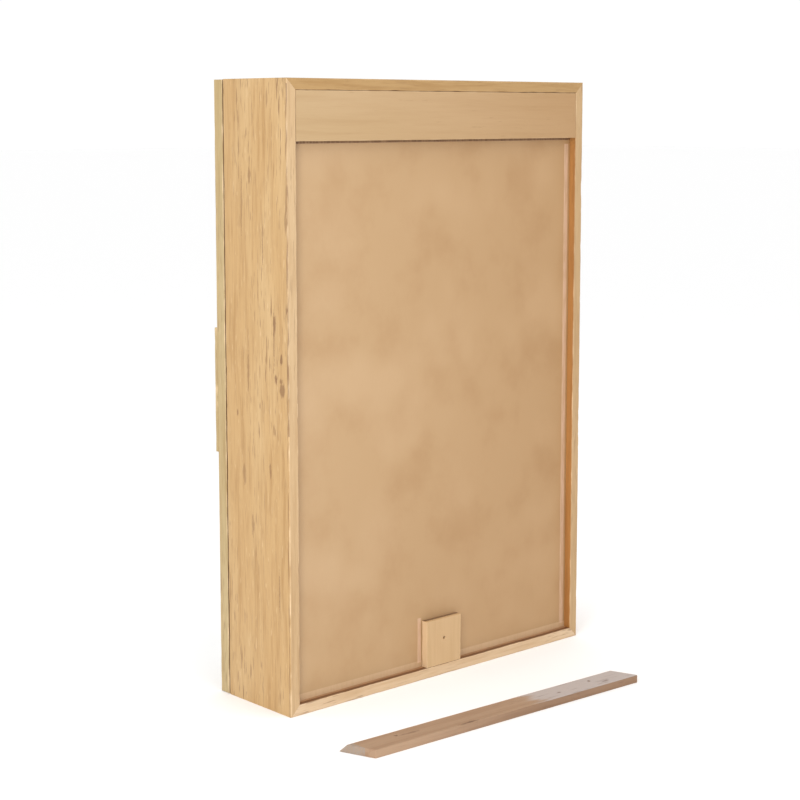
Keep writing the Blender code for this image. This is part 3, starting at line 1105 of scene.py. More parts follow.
def corner_lines(low: Vector, high: Vector, along: int) -> list[tuple[Vector, Vector]]:
    """The four arrises of a box that run along one axis, each with the way into the wood.

    Args:
        low: the box's lowest corner.
        high: its highest corner.
        along: the axis that they run along.

    Returns:
        A point on each arris with that arris's own along-coordinate of 0, and a direction.
    """
    first, second = [axis for axis in range(3) if axis != along]
    lines = []
    for a in (0, 1):
        for b in (0, 1):
            corner = Vector((0.0, 0.0, 0.0))
            inward = Vector((0.0, 0.0, 0.0))
            corner[first] = (low, high)[a][first]
            corner[second] = (low, high)[b][second]
            inward[first] = 1.0 - 2.0 * a
            inward[second] = 1.0 - 2.0 * b
            lines.append((corner, inward.normalized()))
    return lines


def seam_shade_line(across: int, outer: float, outwards: float) -> Line:
    """The dark line painted in the seam between the door and the case, on one side of the cabinet: painted shade in the
    gap.

    Args:
        across: the axis across that side.
        outer: where that side's outer face is along it.
        outwards: 1 where that side faces the axis's way, or -1.

    Returns:
        The line, which reaches a little way in from the outer face.
    """
    door_back, case_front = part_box("door_stile_right")[1].y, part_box("side_panel_right")[0].y
    middle = (door_back + case_front) / 2
    ends = sorted((outer + 0.001 * outwards, outer - 0.002 * outwards))
    half_width = (case_front - door_back) / 2 + 0.0002
    return Line(1, middle, half_width, 0.85, 0.2, ((across, ends[0], ends[1]),))


@dataclass
class Case(SubAssembly):
    """The four mitred boards of the case and the panel in their groove."""

    ease: float = 0.00045
    step: float = 0.0045
    recess_at: float = 0.0504
    mitre_glue: float = 0.00017

    def build(self) -> None:
        """Builds the boards, darkens their faces in the recess as painted shade and dresses the panel with painted
        shade and painted light.
        """
        self._board("side_panel_left", WAXED_PINE, Grain.UPRIGHT, 2, (0.31, 0.12, 0.55), ())
        self._board("side_panel_right", WAXED_PINE, Grain.UPRIGHT, 2, (0.0, 0.0, 0.0), SIDE_KNOTS)
        dull = replace(WAXED_PINE, ground="#ad8957", pale="#b79665", streak="#9b7542", fleck_share=0.0, worn_share=0.2)
        self._board("top_panel", dull, Grain.ACROSS, 0, (0.7, 0.4, 0.1), ())
        # The bottom board gets a paler finish than the other boards.
        rubbed = replace(WAXED_PINE, ground="#cdb08c", pale="#dbc3a4", streak="#bb986f", fleck_share=0.0)
        self._board("bottom_panel", rubbed, Grain.ACROSS, 0, (1.3, 0.9, 0.2), ())
        under_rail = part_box("hanging_rail")[0].z
        wall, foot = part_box("side_panel_left")[1].x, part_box("spacer_block")
        rear = (1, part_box("back_panel")[1].y - 0.0005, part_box("back_panel")[1].y + 0.0005)
        # Pale colour of the bands of painted bounce light on the back panel.
        bare = "#d3b096"
        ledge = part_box("bottom_panel")[1].z
        marks = (
            # Painted shadow: a dark line on the panel just under the rail.
            Line(2, under_rail - 0.0012, 0.0014, 0.80, 0.3, (rear,)),
            # Painted light: pale bands on the panel beside the inner face of the -X side board and beside the block's
            # +X side, as if bounced off those faces.
            Line(0, wall + 0.0065, 0.0036, 0.70, 0.4, ((2, 0.02, under_rail - 0.008), rear), bare),
            Line(0, foot[1].x + 0.0045, 0.0030, 0.70, 0.3, ((2, 0.02, foot[1].z + 0.004), rear), bare),
            # Painted light: a pale band on the panel just above the ledge, as if bounced off the ledge.
            Line(2, ledge + 0.0040, 0.0040, 0.36, 0.20, (rear,), "#dfbf9c"),
        )
        ply = SANDED_PLY.build("back panel", Grain.UPRIGHT, (0.2, 0.0, 0.4), (), marks)
        self.dress("back_panel", ply)

    def _close_mitres(self, bm: bmesh.types.BMesh, along: int, middle: float) -> None:
        """Brings the mitred ends nearly together, as glue does."""
        ends = {
            vert
            for face in bm.faces
            if 0.5 < abs(face.normal[along]) < 0.9
            for vert in face.verts
        }
        for vert in ends:
            vert.co[along] += math.copysign(self.mitre_glue, vert.co[along] - middle)

    def _board(
        self,
        node: str,
        finish: WoodFinish,
        grain: Grain,
        along: int,
        shift: Sequence[float],
        knots: Iterable[Knot],
    ) -> None:
        """Builds one mitred board with worn arrises."""
        low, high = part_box(node)
        bm = copy_of_node(node)
        self._close_mitres(bm, along, (low[along] + high[along]) / 2)
        round_off(bm, on_two_planes(low, high), self.ease)
        axis = Vector([float(i == along) for i in range(3)])
        part_off(bm, low, high, along, PART_OFF)
        slice_up(bm, axis, low[along], high[along], self.step)
        Wear(seed=len(node) + int(100 * low.x)).apply(bm, along, corner_lines(low, high, along))
        across = 2 - along
        whole_low, whole_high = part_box("side_panel_left")[0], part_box("side_panel_right")[1]
        outer_high = high[across] > whole_high[across] - ON_PLANE
        outwards = 1.0 if outer_high else -1.0
        # Faces that look into the recess get the darkened pine, which is painted shade; the back edges of the side
        # boards get the edge pine.
        for face in bm.faces:
            middle = face.calc_center_median()
            inward = face.normal[across] * outwards < -0.1
            face.material_index = int(inward and middle.y > self.recess_at)
            if along == 2 and face.normal.y > 0.9:
                face.material_index = 2
        name = node.replace("_", " ")
        outer = high[across] if outer_high else low[across]
        # Painted shade in the seam with the door.
        lines = [seam_shade_line(across, outer, outwards)]
        if along == 2:
            lines.append(Line(1, high.y - 0.0022, 0.0006, 0.6, 0.85))
            above = (2, 0.45 * high.z, high.z - 0.006)
            lines.append(Line(0, outer, 0.0009, 0.6, 0.6, ((1, high.y - 0.0011, high.y + 0.001), above)))
            # A thin dark line along the inner back arris: painted shadow where the board meets the recess.
            inner = low.x if outer_high else high.x
            middle_z = (whole_low.z + whole_high.z) / 2
            lines.append(Line(0, inner, 0.0008, 0.6, 0.5, ((1, high.y - 0.001, high.y + 0.001), (2, middle_z, high.z))))
        waxed = finish.build(name, grain, shift, knots, lines)
        panel_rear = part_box("back_panel")[1].y
        # A paler band at the rear of the ledge, next to the back panel: painted light, as if bounced off the panel.
        wiped = Line(1, panel_rear + 0.0024, 0.0022, 0.60, 0.3, (), "#c0946c")
        if along == 0:
            recess_shaded = LEDGE_SHADE_PINE.build(name, grain, shift, (), (wiped,))
        else:
            recess_shaded = RECESS_SHADE_PINE.build(name, grain, shift)
        edge = EDGE_PINE.build(name, grain, shift, (), lines)
        self.piece(bm, f"{node}_board", (waxed, recess_shaded, edge), "cabinet", "case_wood", [node])


# What the right-hand side board shows: a burr, small knots and thin splits in line with them.
SIDE_KNOTS = (
    Knot((0.254, 0.0500, 0.3962), 0.0068, 0.62, 1.8),
    Knot((0.254, 0.0470, 0.4070), 0.0034, 0.60, 1.4),
    Knot((0.254, 0.0373, 0.4091), 0.0030, 0.72, 2.4),
    Knot((0.254, 0.0479, 0.4336), 0.0036, 0.72, 2.4),
    Knot((0.254, 0.0349, 0.4733), 0.0038, 0.72, 5.2),
    Knot((0.254, 0.0339, 0.4550), 0.0017, 0.50, 26.0),
    Knot((0.254, 0.0588, 0.4919), 0.0026, 0.62, 1.8),
    Knot((0.254, -0.0107, 0.6473), 0.0040, 0.45, 3.6),
    Knot((0.254, -0.0265, 0.6150), 0.0013, 0.50, 38.0),
    Knot((0.254, 0.0135, 0.5650), 0.0013, 0.50, 28.0),
    Knot((0.254, -0.0163, 0.4120), 0.0026, 0.45, 13.0),
    Knot((0.254, 0.0340, 0.3470), 0.0040, 0.40, 2.6),
    Knot((0.254, -0.0386, 0.3600), 0.0022, 0.55, 2.6),
    Knot((0.254, -0.0264, 0.2860), 0.0046, 0.40, 4.0),
    Knot((0.254, 0.0253, 0.2980), 0.0028, 0.50, 4.5),
    Knot((0.254, 0.0410, 0.1500), 0.0014, 0.60, 24.0),
    Knot((0.254, -0.0100, 0.2250), 0.0036, 0.42, 5.0),
)


@dataclass
class Hanging(SubAssembly):
    """The rail that hooks over the wall half of the cleat, and the spacer block below."""

    ease: float = 0.0003
    gap_filled: float = 0.00025

    def build(self) -> None:
        """Builds the rail and the block."""
        rail = PLANED_PINE.build("hanging rail", Grain.ACROSS, (0.2, 0.3, 0.9))
        bright = replace(PLANED_PINE, ground="#c4a277", streak="#b69466", pale="#cbab82", painted_falloff="")
        # Both side faces of the block get a paler finish than its front: painted light, for the key light falling on
        # its +X side.
        sawn = replace(bright, ground="#dcbe96", streak="#cfae82", pale="#e2c8a3")
        block = bright.build("spacer block", Grain.UPRIGHT, (0.5, 0.1, 0.3))
        # Painted shadow: a dark band at the rear of the block's top, next to the back panel.
        painted_shadow = Line(1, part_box("back_panel")[1].y + 0.0030, 0.0031, 0.85, 0.2)
        block_top = bright.build("top of the spacer block", Grain.UPRIGHT, (0.5, 0.1, 0.3), (), (painted_shadow,))
        painted_lit_block_side = sawn.build("spacer block sides painted paler as lit", Grain.UPRIGHT, (0.5, 0.1, 0.3))
        sets = (("hanging_rail", 0, (rail,)), ("spacer_block", 2, (block, block_top, painted_lit_block_side)))
        for node, along, materials in sets:
            low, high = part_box(node)
            bm = copy_of_node(node)
            self._fit_tight(bm, low, high, (0, 2) if along == 0 else (2,))
            round_off(bm, on_two_planes(low, high), self.ease)
            axis = Vector([float(i == along) for i in range(3)])
            part_off(bm, low, high, along, PART_OFF)
            slice_up(bm, axis, low[along], high[along], 0.005)
            Wear(seed=along + 5, rub=0.0002, nibbles=4, nibble_depth=0.0005).apply(
                bm, along, corner_lines(low, high, along)
            )
            # The block's top gets the painted shadow at its rear, and its sides get the paler painted light.
            for face in bm.faces if len(materials) > 1 else ():
                face.material_index = 1 if face.normal.z > 0.6 else 2 if abs(face.normal.x) > 0.8 else 0
            self.piece(bm, f"{node}_planed", materials, "cabinet", "rail_wood", [node])

    def _fit_tight(self, bm: bmesh.types.BMesh, low: Vector, high: Vector, axes: Sequence[int]) -> None:
        """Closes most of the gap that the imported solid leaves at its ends."""
        for vert in bm.verts:
            for axis in axes:
                if vert.co[axis] < low[axis] + ON_PLANE and (axis == 0 or len(axes) == 1):
                    vert.co[axis] -= self.gap_filled
                elif vert.co[axis] > high[axis] - ON_PLANE and len(axes) == 2:
                    vert.co[axis] += self.gap_filled


@dataclass
class WallCleat(SubAssembly):
    """The loose wall half of the cleat, with one sloping edge and its ends cut askew."""

    turned = math.radians(-2.94)
    ease: float = 0.0005

    def build(self) -> None:
        """Builds the strip with its saw-cut edges just eased."""
        bm = copy_of_node("wall_cleat")
        round_off(bm, sharper_than(40.0, 0.004), self.ease)
        low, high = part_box("wall_cleat")
        slice_up(bm, Vector((1.0, 0.0, 0.0)), low.x, high.x, 0.005)
        draws = random.Random(8)
        layer = bm.verts.layers.float.new(WORN)
        for vert in bm.verts:
            if vert.co.z > low.z + self.ease:
                lump = noise.noise(vert.co * 40.0 + Vector((draws.random() * 0.01, 0.0, 0.0)))
                vert.co.z -= 0.00012 * (1.0 + lump)
                vert[layer] = 0.0
        top = -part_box("wall_cleat")[1].z
        knots = (
            Knot((top, 0.2417, 0.1134), 0.0032, 0.65, 6.0),
            Knot((top, 0.2305, -0.0442), 0.0026, 0.60, 2.0),
            Knot((top, 0.2250, 0.1887), 0.0030, 0.45, 6.0),
            Knot((top, 0.2345, -0.1222), 0.0030, 0.50, 3.0),
        )
        grey_tip = Line(0, high.x - 0.004, 0.0075, 0.75, 0.5, (), "#93897f")
        # The cleat's +Y face: bare pine a little paler, darkened towards -X as painted shade for the key light's
        # falloff.
        sawn = replace(
            RAW_PINE,
            ground="#ab8c70",
            streak="#957458",
            pale="#b99d83",
            painted_falloff="#d6cdc6",
            painted_falloff_from=0.22,
            painted_falloff_to=0.02,
        )
        faced = RAW_PINE.build("wall cleat", Grain.CLEAT, (0.0, 0.0, 0.0), knots, (grey_tip,))
        edged = sawn.build("sawn edge of the wall cleat", Grain.CLEAT, (0.0, 0.0, 0.0), knots, (grey_tip,))
        for face in bm.faces:
            face.material_index = int(face.normal.y > 0.8)
        self.piece(bm, "wall_cleat_strip", (faced, edged), "wall_cleat", "cleat_wood", ["wall_cleat"])


@dataclass
class Door(SubAssembly):
    """The door's frame, mirror, backing, beads, pull and bumpers."""

    ease: float = 0.0005
    step: float = 0.0045

    def build(self) -> None:
        """Builds the frame and dresses what it holds."""
        for side, shift in (("left", (0.9, 0.6, 0.3)), ("right", (0.4, 0.2, 0.8))):
            self._stick(f"door_stile_{side}", Grain.UPRIGHT, 2, shift)
        for place, shift in (("top", (0.1, 0.7, 0.2)), ("bottom", (0.6, 0.5, 0.1))):
            self._stick(f"door_rail_{place}", Grain.ACROSS, 0, shift)
        self._stick("door_pull", Grain.UPRIGHT, 2, (0.4, 0.21, 0.8), 0.0012)
        for side in ("left", "right"):
            self._stick(f"mirror_bead_{side}", Grain.UPRIGHT, 2, (0.2, 0.8, 0.5), 0.0004)
        for place in ("top", "bottom"):
            self._stick(f"mirror_bead_{place}", Grain.ACROSS, 0, (0.3, 0.1, 0.6), 0.0004)
        self.dress("mirror_glass", SilveredGlass().build())
        self.dress("mirror_backing", Hardboard().build())
        rubber = Moulded("soft clear rubber", "#c9c6bf", 0.6).build()
        for place in ("lower", "upper"):
            node = f"door_bumper_{place}"
            bm = copy_of_node(node)
            round_off(bm, sharper_than(40.0), 0.0002, 2)
            self.piece(bm, f"{node}_pad", rubber, "door", "soft_rubber", [node], 60.0)

    def _stick(self, node: str, grain: Grain, along: int, shift: Sequence[float], ease: float | None = None) -> None:
        """Builds one stick of the frame with worn arrises."""
        low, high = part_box(node)
        bm = copy_of_node(node)
        round_off(bm, on_two_planes(low, high), ease or self.ease)
        axis = Vector([float(i == along) for i in range(3)])
        part_off(bm, low, high, along, PART_OFF)
        slice_up(bm, axis, low[along], high[along], self.step)
        wear = Wear(seed=len(node), rub=0.0002, nibbles=6, nibble_depth=0.0005)
        wear.apply(bm, along, corner_lines(low, high, along))
        lines: list[Line] = []
        if node.startswith(("door_stile", "door_rail")):
            across = 2 - along
            whole_low, whole_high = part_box("door_rail_bottom")[0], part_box("door_rail_top")[1]
            middle = 0.0 if across == 0 else (whole_low.z + whole_high.z) / 2
            outwards = 1.0 if (low[across] + high[across]) / 2 > middle else -1.0
            # Painted shade in the seam with the case.
            lines.append(seam_shade_line(across, high[across] if outwards > 0 else low[across], outwards))
        material = DOOR_PINE.build(node.replace("_", " "), grain, shift, (), lines)
        self.piece(bm, f"{node}_stick", material, "door", "door_wood", [node])


OUTWARD = "outward"  # the attribute on a point that says which way its piece faces


class Pattern:
    """A Geometry Nodes tree that puts one shape on every point, with named sizes."""

    def __init__(self, name: str) -> None:
        """Starts the tree with its points as its first input.

        Args:
            name: the tree's name.
        """
        self.tree = bpy.data.node_groups.new(name, "GeometryNodeTree")
        face = self.tree.interface
        face.new_socket(name="Points", in_out="INPUT", socket_type="NodeSocketGeometry")
        face.new_socket(name="Geometry", in_out="OUTPUT", socket_type="NodeSocketGeometry")
        self.way_in = self.tree.nodes.new("NodeGroupInput")
        self.way_out = self.tree.nodes.new("NodeGroupOutput")
        self.sockets: dict[str, str] = {}

    def size(self, name: str, kind: str = "NodeSocketFloat") -> bpy.types.NodeSocket:
        """Adds a named input and returns its socket inside the tree."""
        made = self.tree.interface.new_socket(name=name, in_out="INPUT", socket_type=kind)
        self.sockets[name] = made.identifier
        return self.way_in.outputs[name]

    def math(self, operation: str, *values: Any, clamp: bool = False) -> bpy.types.NodeSocket:
        """Adds a sum on numbers and returns its result."""
        return add_node(
            self.tree,
            "ShaderNodeMath",
            dict(enumerate(values)),
            operation=operation,
            use_clamp=clamp,
        ).outputs[0]

    def spread(self, shape: bpy.types.NodeSocket, material: bpy.types.NodeSocket, seed: int) -> None:
        """Puts the shape on each point, facing outward and turned at random about that way.

        Args:
            shape: the shape, with its outward side at +Z.
            material: the material that it gets.
            seed: fixes the random turns.
        """
        outward = add_node(
            self.tree,
            "GeometryNodeInputNamedAttribute",
            {"Name": OUTWARD},
            data_type="FLOAT_VECTOR",
        )
        aimed = add_node(
            self.tree,
            "FunctionNodeAlignRotationToVector",
            {"Vector": outward.outputs["Attribute"]},
            axis="Z",
        )
        chance = add_node(self.tree, "FunctionNodeRandomValue", {"Seed": seed}, data_type="FLOAT")
        angle = self.math("MULTIPLY", chance.outputs[1], math.pi)
        spin = add_node(
            self.tree,
            "FunctionNodeAxisAngleToRotation",
            {"Axis": (0.0, 0.0, 1.0), "Angle": angle},
        )
        turned = add_node(
            self.tree,
            "FunctionNodeRotateRotation",
            {"Rotation": aimed.outputs[0], "Rotate By": spin.outputs[0]},
            rotation_space="LOCAL",
        )
        placed = add_node(
            self.tree,
            "GeometryNodeInstanceOnPoints",
            {
                "Points": self.way_in.outputs["Points"],
                "Instance": shape,
                "Rotation": turned.outputs[0],
            },
        )
        real = add_node(self.tree, "GeometryNodeRealizeInstances", {0: placed.outputs[0]})
        coated = add_node(
            self.tree,
            "GeometryNodeSetMaterial",
            {"Geometry": real.outputs[0], "Material": material},
        )
        self.tree.links.new(coated.outputs[0], self.way_out.inputs[0])

    def mesh_on(
        self,
        places: Sequence[tuple[Vector, Vector]],
        sizes: dict[str, Any],
        name: str,
    ) -> bpy.types.Mesh:
        """Runs the tree on points and returns the plain mesh that it makes.

        Args:
            places: each point and the way that its piece faces.
            sizes: what goes into each named input.
            name: the mesh's name.

        Returns:
            The mesh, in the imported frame.
        """
        points = bpy.data.meshes.new(f"{name} points")
        points.from_pydata([tuple(point) for point, _ in places], [], [])
        ways = points.attributes.new(OUTWARD, "FLOAT_VECTOR", "POINT")
        for i, (_, way) in enumerate(places):
            ways.data[i].vector = way
        holder = bpy.data.objects.new(f"{name} holder", points)
        bpy.context.scene.collection.objects.link(holder)
        change = holder.modifiers.new(name, "NODES")
        change.node_group = self.tree
        for size, value in sizes.items():
            change[self.sockets[size]] = value
        bpy.context.view_layer.update()
        seen = holder.evaluated_get(bpy.context.evaluated_depsgraph_get())
        mesh = bpy.data.meshes.new_from_object(seen)
        mesh.name = name
        bpy.data.objects.remove(holder)
        return mesh


@dataclass
class Screws(SubAssembly):
    """Slotted countersunk screws, a mesh for each body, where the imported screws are."""

    head_radius: float = 0.00278
    head_depth: float = 0.0016
    shank: float = 0.00128
    length: float = 0.0109
    tip: float = 0.0025
    pitch: float = 0.0011
    thread: float = 0.00030
    slot_width: float = 0.0007
    slot_depth: float = 0.0007
    sides: int = 25
    rings: int = 90
    face_share: float = 0.06
    seed: int = 11

    def build(self, steel: bpy.types.Material) -> None:
        """Builds the screws of the cabinet and those of the door."""
        pattern = self._pattern()
        sizes = {
            "Head Radius": self.head_radius,
            "Head Depth": self.head_depth,
            "Shank Radius": self.shank,
            "Length": self.length,
            "Tip Length": self.tip,
            "Thread Pitch": self.pitch,
            "Thread Depth": self.thread,
            "Slot Width": self.slot_width,
            "Slot Depth": self.slot_depth,
            "Material": steel,
        }
        screws = [node for node in self.nodes if "screw" in node]
        on_door = [node for node in screws if "door_screw" in node or node == "strike_screw"]
        in_case = [node for node in screws if node not in on_door]
        for body, found in (("cabinet", in_case), ("door", on_door)):
            places = [self._place(node) for node in found]
            mesh = pattern.mesh_on(places, sizes, f"{body}_screws")
            self.finished(mesh, f"{body}_screws", (), body, "plated_steel", found, 40.0)

    def _place(self, node: str) -> tuple[Vector, Vector]:
        """Where a packed screw's head is and which way it faces."""
        low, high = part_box(node)
        along = max(range(3), key=lambda axis: high[axis] - low[axis])
        middle = (low + high) / 2
        points = [vert.co for vert in self.nodes[node].data.vertices]
        ends = []
        for place, sign in ((low[along], -1.0), (high[along], 1.0)):
            near = [point for point in points if abs(point[along] - place) < SAME_POINT]
            ends.append((max((point - middle).length for point in near), sign, place, len(near)))
        _, sign, place, _ = max(ends, key=lambda end: end[3])
        middle[along] = place
        outward = Vector((0.0, 0.0, 0.0))
        outward[along] = sign
        return middle, outward

    def _pattern(self) -> Pattern:
        """The tree: a grid rolled into a screw, with a slot cut across its head."""
        made = Pattern("countersunk screw")
        head, depth, shank = (made.size(n) for n in ("Head Radius", "Head Depth", "Shank Radius"))
        length, tip, pitch = (made.size(n) for n in ("Length", "Tip Length", "Thread Pitch"))
        thread, wide, deep = (made.size(n) for n in ("Thread Depth", "Slot Width", "Slot Depth"))
        material = made.size("Material", "NodeSocketMaterial")
        grid = add_node(
            made.tree,
            "GeometryNodeMeshGrid",
            {"Size X": 1.0, "Size Y": 1.0, "Vertices X": self.rings, "Vertices Y": self.sides},
        )
        place = add_node(made.tree, "GeometryNodeInputPosition")
        flat = add_node(made.tree, "ShaderNodeSeparateXYZ", {0: place.outputs[0]})
        down = made.math("ADD", flat.outputs[0], 0.5)
        angle = made.math("MULTIPLY_ADD", flat.outputs[1], 2 * math.pi, math.pi)
        share = made.math("DIVIDE", made.math("SUBTRACT", down, self.face_share), 1 - self.face_share, clamp=True)
        below = made.math("MULTIPLY", share, length)
        on_face = made.math("DIVIDE", down, self.face_share, clamp=True)
        cone_share = made.math("DIVIDE", below, depth, clamp=True)
        cone = made.math("MULTIPLY_ADD", made.math("SUBTRACT", shank, head), cone_share, head)
        turn = made.math("DIVIDE", angle, 2 * math.pi)
        phase = made.math("FRACT", made.math("ADD", made.math("DIVIDE", below, pitch), turn))
        ridge = made.math("ABSOLUTE", made.math("MULTIPLY_ADD", phase, 2.0, -1.0))
        groove = made.math("MULTIPLY", made.math("MULTIPLY", ridge, thread), made.math("FLOOR", cone_share))
        body = made.math("SUBTRACT", cone, groove)
        to_tip = made.math("DIVIDE", made.math("SUBTRACT", length, below), tip, clamp=True)
        radius = made.math("MULTIPLY", made.math("MULTIPLY", body, to_tip), on_face)
        rolled = add_node(
            made.tree,
            "ShaderNodeCombineXYZ",
            {
                0: made.math("MULTIPLY", radius, made.math("COSINE", angle)),
                1: made.math("MULTIPLY", radius, made.math("SINE", angle)),
                2: made.math("MULTIPLY", below, -1.0),
            },
        )
        shaped = add_node(
            made.tree,
            "GeometryNodeSetPosition",
            {"Geometry": grid.outputs[0], "Position": rolled.outputs[0]},
        )
        closed = add_node(
            made.tree,
            "GeometryNodeMergeByDistance",
            {"Geometry": shaped.outputs[0], "Distance": SAME_POINT},
        )
        size = add_node(
            made.tree,
            "ShaderNodeCombineXYZ",
            {0: made.math("MULTIPLY", head, 3.0), 1: wide, 2: made.math("MULTIPLY", deep, 2.0)},
        )
        blade = add_node(made.tree, "GeometryNodeMeshCube", {"Size": size.outputs[0]})
        slotted = add_node(
            made.tree,
            "GeometryNodeMeshBoolean",
            {"Mesh 1": closed.outputs[0], "Mesh 2": blade.outputs[0]},
            operation="DIFFERENCE",
        )
        made.spread(slotted.outputs[0], material, self.seed)
        return made


@dataclass
class Hinges(SubAssembly):
    """Two butt hinges: a leaf for the case, a leaf for the door and a pin in each."""

    def build(self, steel: bpy.types.Material) -> None:
        """Builds the leaves and pins, shaded smooth."""
        for place in ("lower", "upper"):
            for part, body in (("case_leaf", "cabinet"), ("door_leaf", "door"), ("pin", "cabinet")):
                node = f"hinge_{place}_{part}"
                bm = copy_of_node(node)
                self.piece(bm, f"{node}_plated", steel, body, "plated_steel", [node], 40.0)


@dataclass
class Shelves(SubAssembly):
    """Two shelves and the turned pins that they rest on."""

    ease: float = 0.0008
    pin_radius: float = 0.0025
    pin_stub: float = 0.0070
    pin_end: float = 0.0006
    pin_shank: float = 0.0087
    collar_radius: float = 0.0035
    collar: float = 0.0010
    seed: int = 3

    def build(self, steel: bpy.types.Material) -> None:
        """Builds the shelves and the pins."""
        for place, shift in (("lower", (0.8, 0.2, 0.4)), ("upper", (0.15, 0.65, 0.7))):
            node = f"shelf_{place}"
            low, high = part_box(node)
            bm = copy_of_node(node)
            round_off(bm, on_two_planes(low, high), self.ease)
            part_off(bm, low, high, 0, PART_OFF)
            slice_up(bm, Vector((1.0, 0.0, 0.0)), low.x, high.x, 0.006)
            Wear(seed=len(node) + 3, rub=0.0002, nibbles=6).apply(bm, 0, corner_lines(low, high, 0))
            material = WAXED_PINE.build(f"{place} shelf", Grain.ACROSS, shift)
            self.piece(bm, f"{node}_board", material, node, "case_wood", [node])
        pins = [node for node in self.nodes if node.startswith("shelf_") and "_pin_" in node]
        sizes = {
            "Pin Radius": self.pin_radius,
            "Stub Length": self.pin_stub,
            "Rounded End": self.pin_end,
            "Shank Length": self.pin_shank,
            "Collar Radius": self.collar_radius,
            "Collar Width": self.collar,
            "Material": steel,
        }
        mesh = self._pattern().mesh_on([self._place(node) for node in pins], sizes, "shelf_pins")
        self.finished(mesh, "shelf_pins_turned", (), "cabinet", "plated_steel", pins, 40.0)

    def _place(self, node: str) -> tuple[Vector, Vector]:
        """Where a packed pin's collar meets the wall and which way the pin points."""
        low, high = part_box(node)
        way = -math.copysign(1.0, low.x + high.x)
        foot = (low + high) / 2
        foot.x = (high.x if way > 0 else low.x) - way * self.pin_stub
        return foot, Vector((way, 0.0, 0.0))

    def _pattern(self) -> Pattern:
        """The tree: four short turned lengths joined into one pin."""
        made = Pattern("shelf pin")
        radius, stub, end = (made.size(n) for n in ("Pin Radius", "Stub Length", "Rounded End"))
        shank, wide, thick = (made.size(n) for n in ("Shank Length", "Collar Radius", "Collar Width"))
        material = made.size("Material", "NodeSocketMaterial")
        bite = 0.0001
        straight = made.math("SUBTRACT", stub, end)
        lengths = (
            (radius, radius, made.math("ADD", shank, bite), made.math("MULTIPLY", shank, -1.0)),
            (wide, wide, thick, 0.0),
            (radius, radius, straight, bite),
            (radius, made.math("MULTIPLY", radius, 0.8), end, straight),
        )
        turned = []
        for bottom, top, long, start in lengths:
            cone = add_node(
                made.tree,
                "GeometryNodeMeshCone",
                {"Vertices": 24, "Radius Top": top, "Radius Bottom": bottom, "Depth": long},
            )
            up = add_node(made.tree, "ShaderNodeCombineXYZ", {2: start})
            turned.append(
                add_node(
                    made.tree,
                    "GeometryNodeTransform",
                    {"Geometry": cone.outputs[0], "Translation": up.outputs[0]},
                ).outputs[0]
            )
        whole = add_node(made.tree, "GeometryNodeMeshBoolean", operation="UNION", solver="EXACT")
        for each in turned:
            made.tree.links.new(each, whole.inputs["Mesh 2"])
        made.spread(whole.outputs[0], material, self.seed)
        return made


@dataclass
class Catch(SubAssembly):
    """The magnetic catch under the top board and the plate that it holds."""

    def build(self, steel: bpy.types.Material) -> None:
        """Builds the catch and its plate with rounded edges."""
        plastic = Moulded("moulded white plastic", "#dcd9d0", 0.42).build()
        bm = copy_of_node("magnetic_catch")
        round_off(bm, sharper_than(60.0, 0.002), 0.0006)
        self.piece(bm, "magnetic_catch_case", plastic, "cabinet", "moulded_plastic", ["magnetic_catch"])
        bm = copy_of_node("strike_plate")
        round_off(bm, on_two_planes(*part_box("strike_plate")), 0.0003)
        self.piece(bm, "strike_plate_plated", steel, "door", "plated_steel", ["strike_plate"])


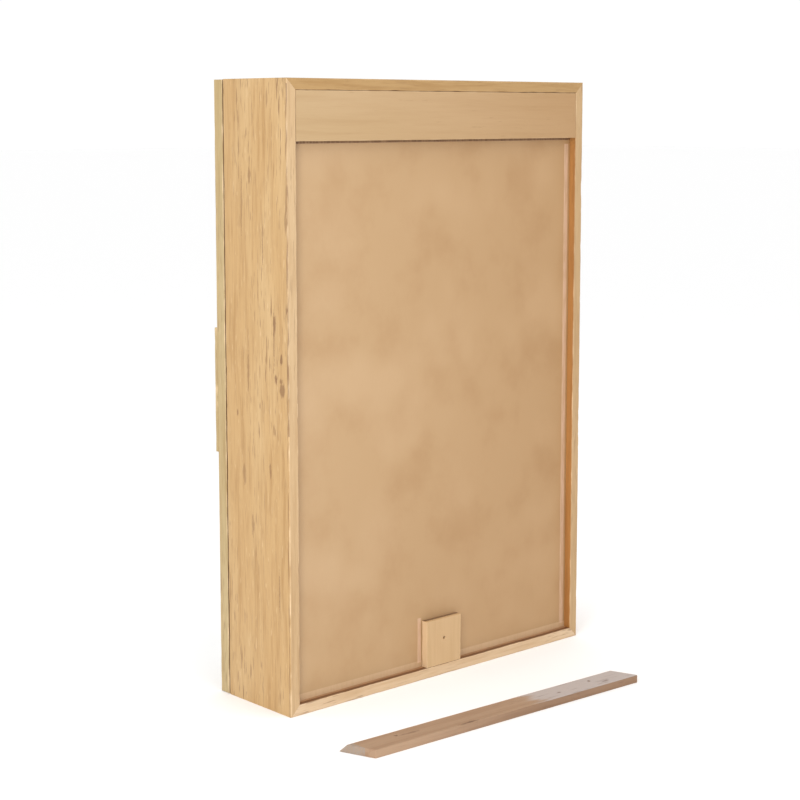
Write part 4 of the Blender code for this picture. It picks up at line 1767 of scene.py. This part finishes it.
class Studio:
    """The pale floor, the soft lights and the camera."""

    def __init__(self) -> None:
        """Keeps the floor once it is built."""
        self.floor: bpy.types.Object | None = None

    def build(self) -> None:
        """Builds the floor, the lights and the camera."""
        self._floor()
        self._sky()
        self._lamp("key softbox", (1.5, 0.95, 0.75), (0.1, 0.0, 0.4), (0.5, 0.7), 11.0)
        self._lamp("overhead softbox", (0.1, 0.9, 2.4), (0.1, 0.5, 0.0), (1.6, 1.6), 11.0)
        self._camera()

    def _floor(self) -> None:
        """A seamless pale floor."""
        mesh = bpy.data.meshes.new("floor")
        half = 30.0
        corners = [(-half, -half, 0.0), (half, -half, 0.0), (half, half, 0.0), (-half, half, 0.0)]
        mesh.from_pydata(corners, [], [(0, 1, 2, 3)])
        self.floor = bpy.data.objects.new("floor", mesh)
        bpy.context.scene.collection.objects.link(self.floor)
        paper = bpy.data.materials.new("matt white paper")
        paper.use_nodes = True
        shader = paper.node_tree.nodes["Principled BSDF"]
        shader.inputs["Base Color"].default_value = linear("#fcfcfc")
        shader.inputs["Roughness"].default_value = 0.9
        mesh.materials.append(paper)

    def _sky(self) -> None:
        """An even white surround."""
        world = bpy.data.worlds.new("white surround")
        world.use_nodes = True
        shader = world.node_tree.nodes["Background"]
        shader.inputs["Color"].default_value = (1.0, 1.0, 1.0, 1.0)
        shader.inputs["Strength"].default_value = 1.02
        bpy.context.scene.world = world
        bpy.context.scene.view_settings.view_transform = "Standard"

    def _lamp(
        self,
        name: str,
        place: Sequence[float],
        aim: Sequence[float],
        size: tuple[float, float],
        power: float,
    ) -> None:
        """One rectangular soft light.

        Args:
            name: what it is.
            place: where its middle is, in metres.
            aim: the point that it faces.
            size: its width and height, in metres.
            power: its power, in watts.
        """
        lamp = bpy.data.lights.new(name, "AREA")
        lamp.shape = "RECTANGLE"
        lamp.size, lamp.size_y = size
        lamp.energy = power
        holder = bpy.data.objects.new(name, lamp)
        holder.location = place
        holder.rotation_euler = (Vector(aim) - Vector(place)).to_track_quat("-Z", "Y").to_euler()
        bpy.context.scene.collection.objects.link(holder)

    def _camera(self) -> None:
        """The camera: a short telephoto lens, behind the cabinet and to its right."""
        lens = bpy.data.cameras.new("camera")
        lens.sensor_width = 36.0
        lens.lens = 80.05
        lens.shift_y = -0.08
        camera = bpy.data.objects.new("camera", lens)
        camera.location = (1.5454, 1.6763, 0.7205)
        camera.rotation_euler = tuple(math.radians(angle) for angle in (82.882, 0.0, 137.734))
        bpy.context.scene.collection.objects.link(camera)
        bpy.context.scene.camera = camera


def main() -> None:
    """Builds the cabinet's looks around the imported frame, sub-assembly by sub-assembly."""
    logging.basicConfig(level=logging.INFO, format="%(name)s: %(message)s")
    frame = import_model()
    nodes = frame["nodes"]
    Studio().build()
    steel = PlatedSteel().build()
    case = Case(nodes)
    case.build()
    hanging = Hanging(nodes)
    hanging.build()
    cleat = WallCleat(nodes)
    cleat.build()
    door = Door(nodes)
    door.build()
    hinges = Hinges(nodes)
    hinges.build(steel)
    shelves = Shelves(nodes)
    shelves.build(steel)
    screws = Screws(nodes)
    screws.build(steel)
    catch = Catch(nodes)
    catch.build(steel)
    for made in (case, hanging, cleat, door, hinges, shelves, screws, catch):
        made.report()


if __name__ == "__main__":
    main()
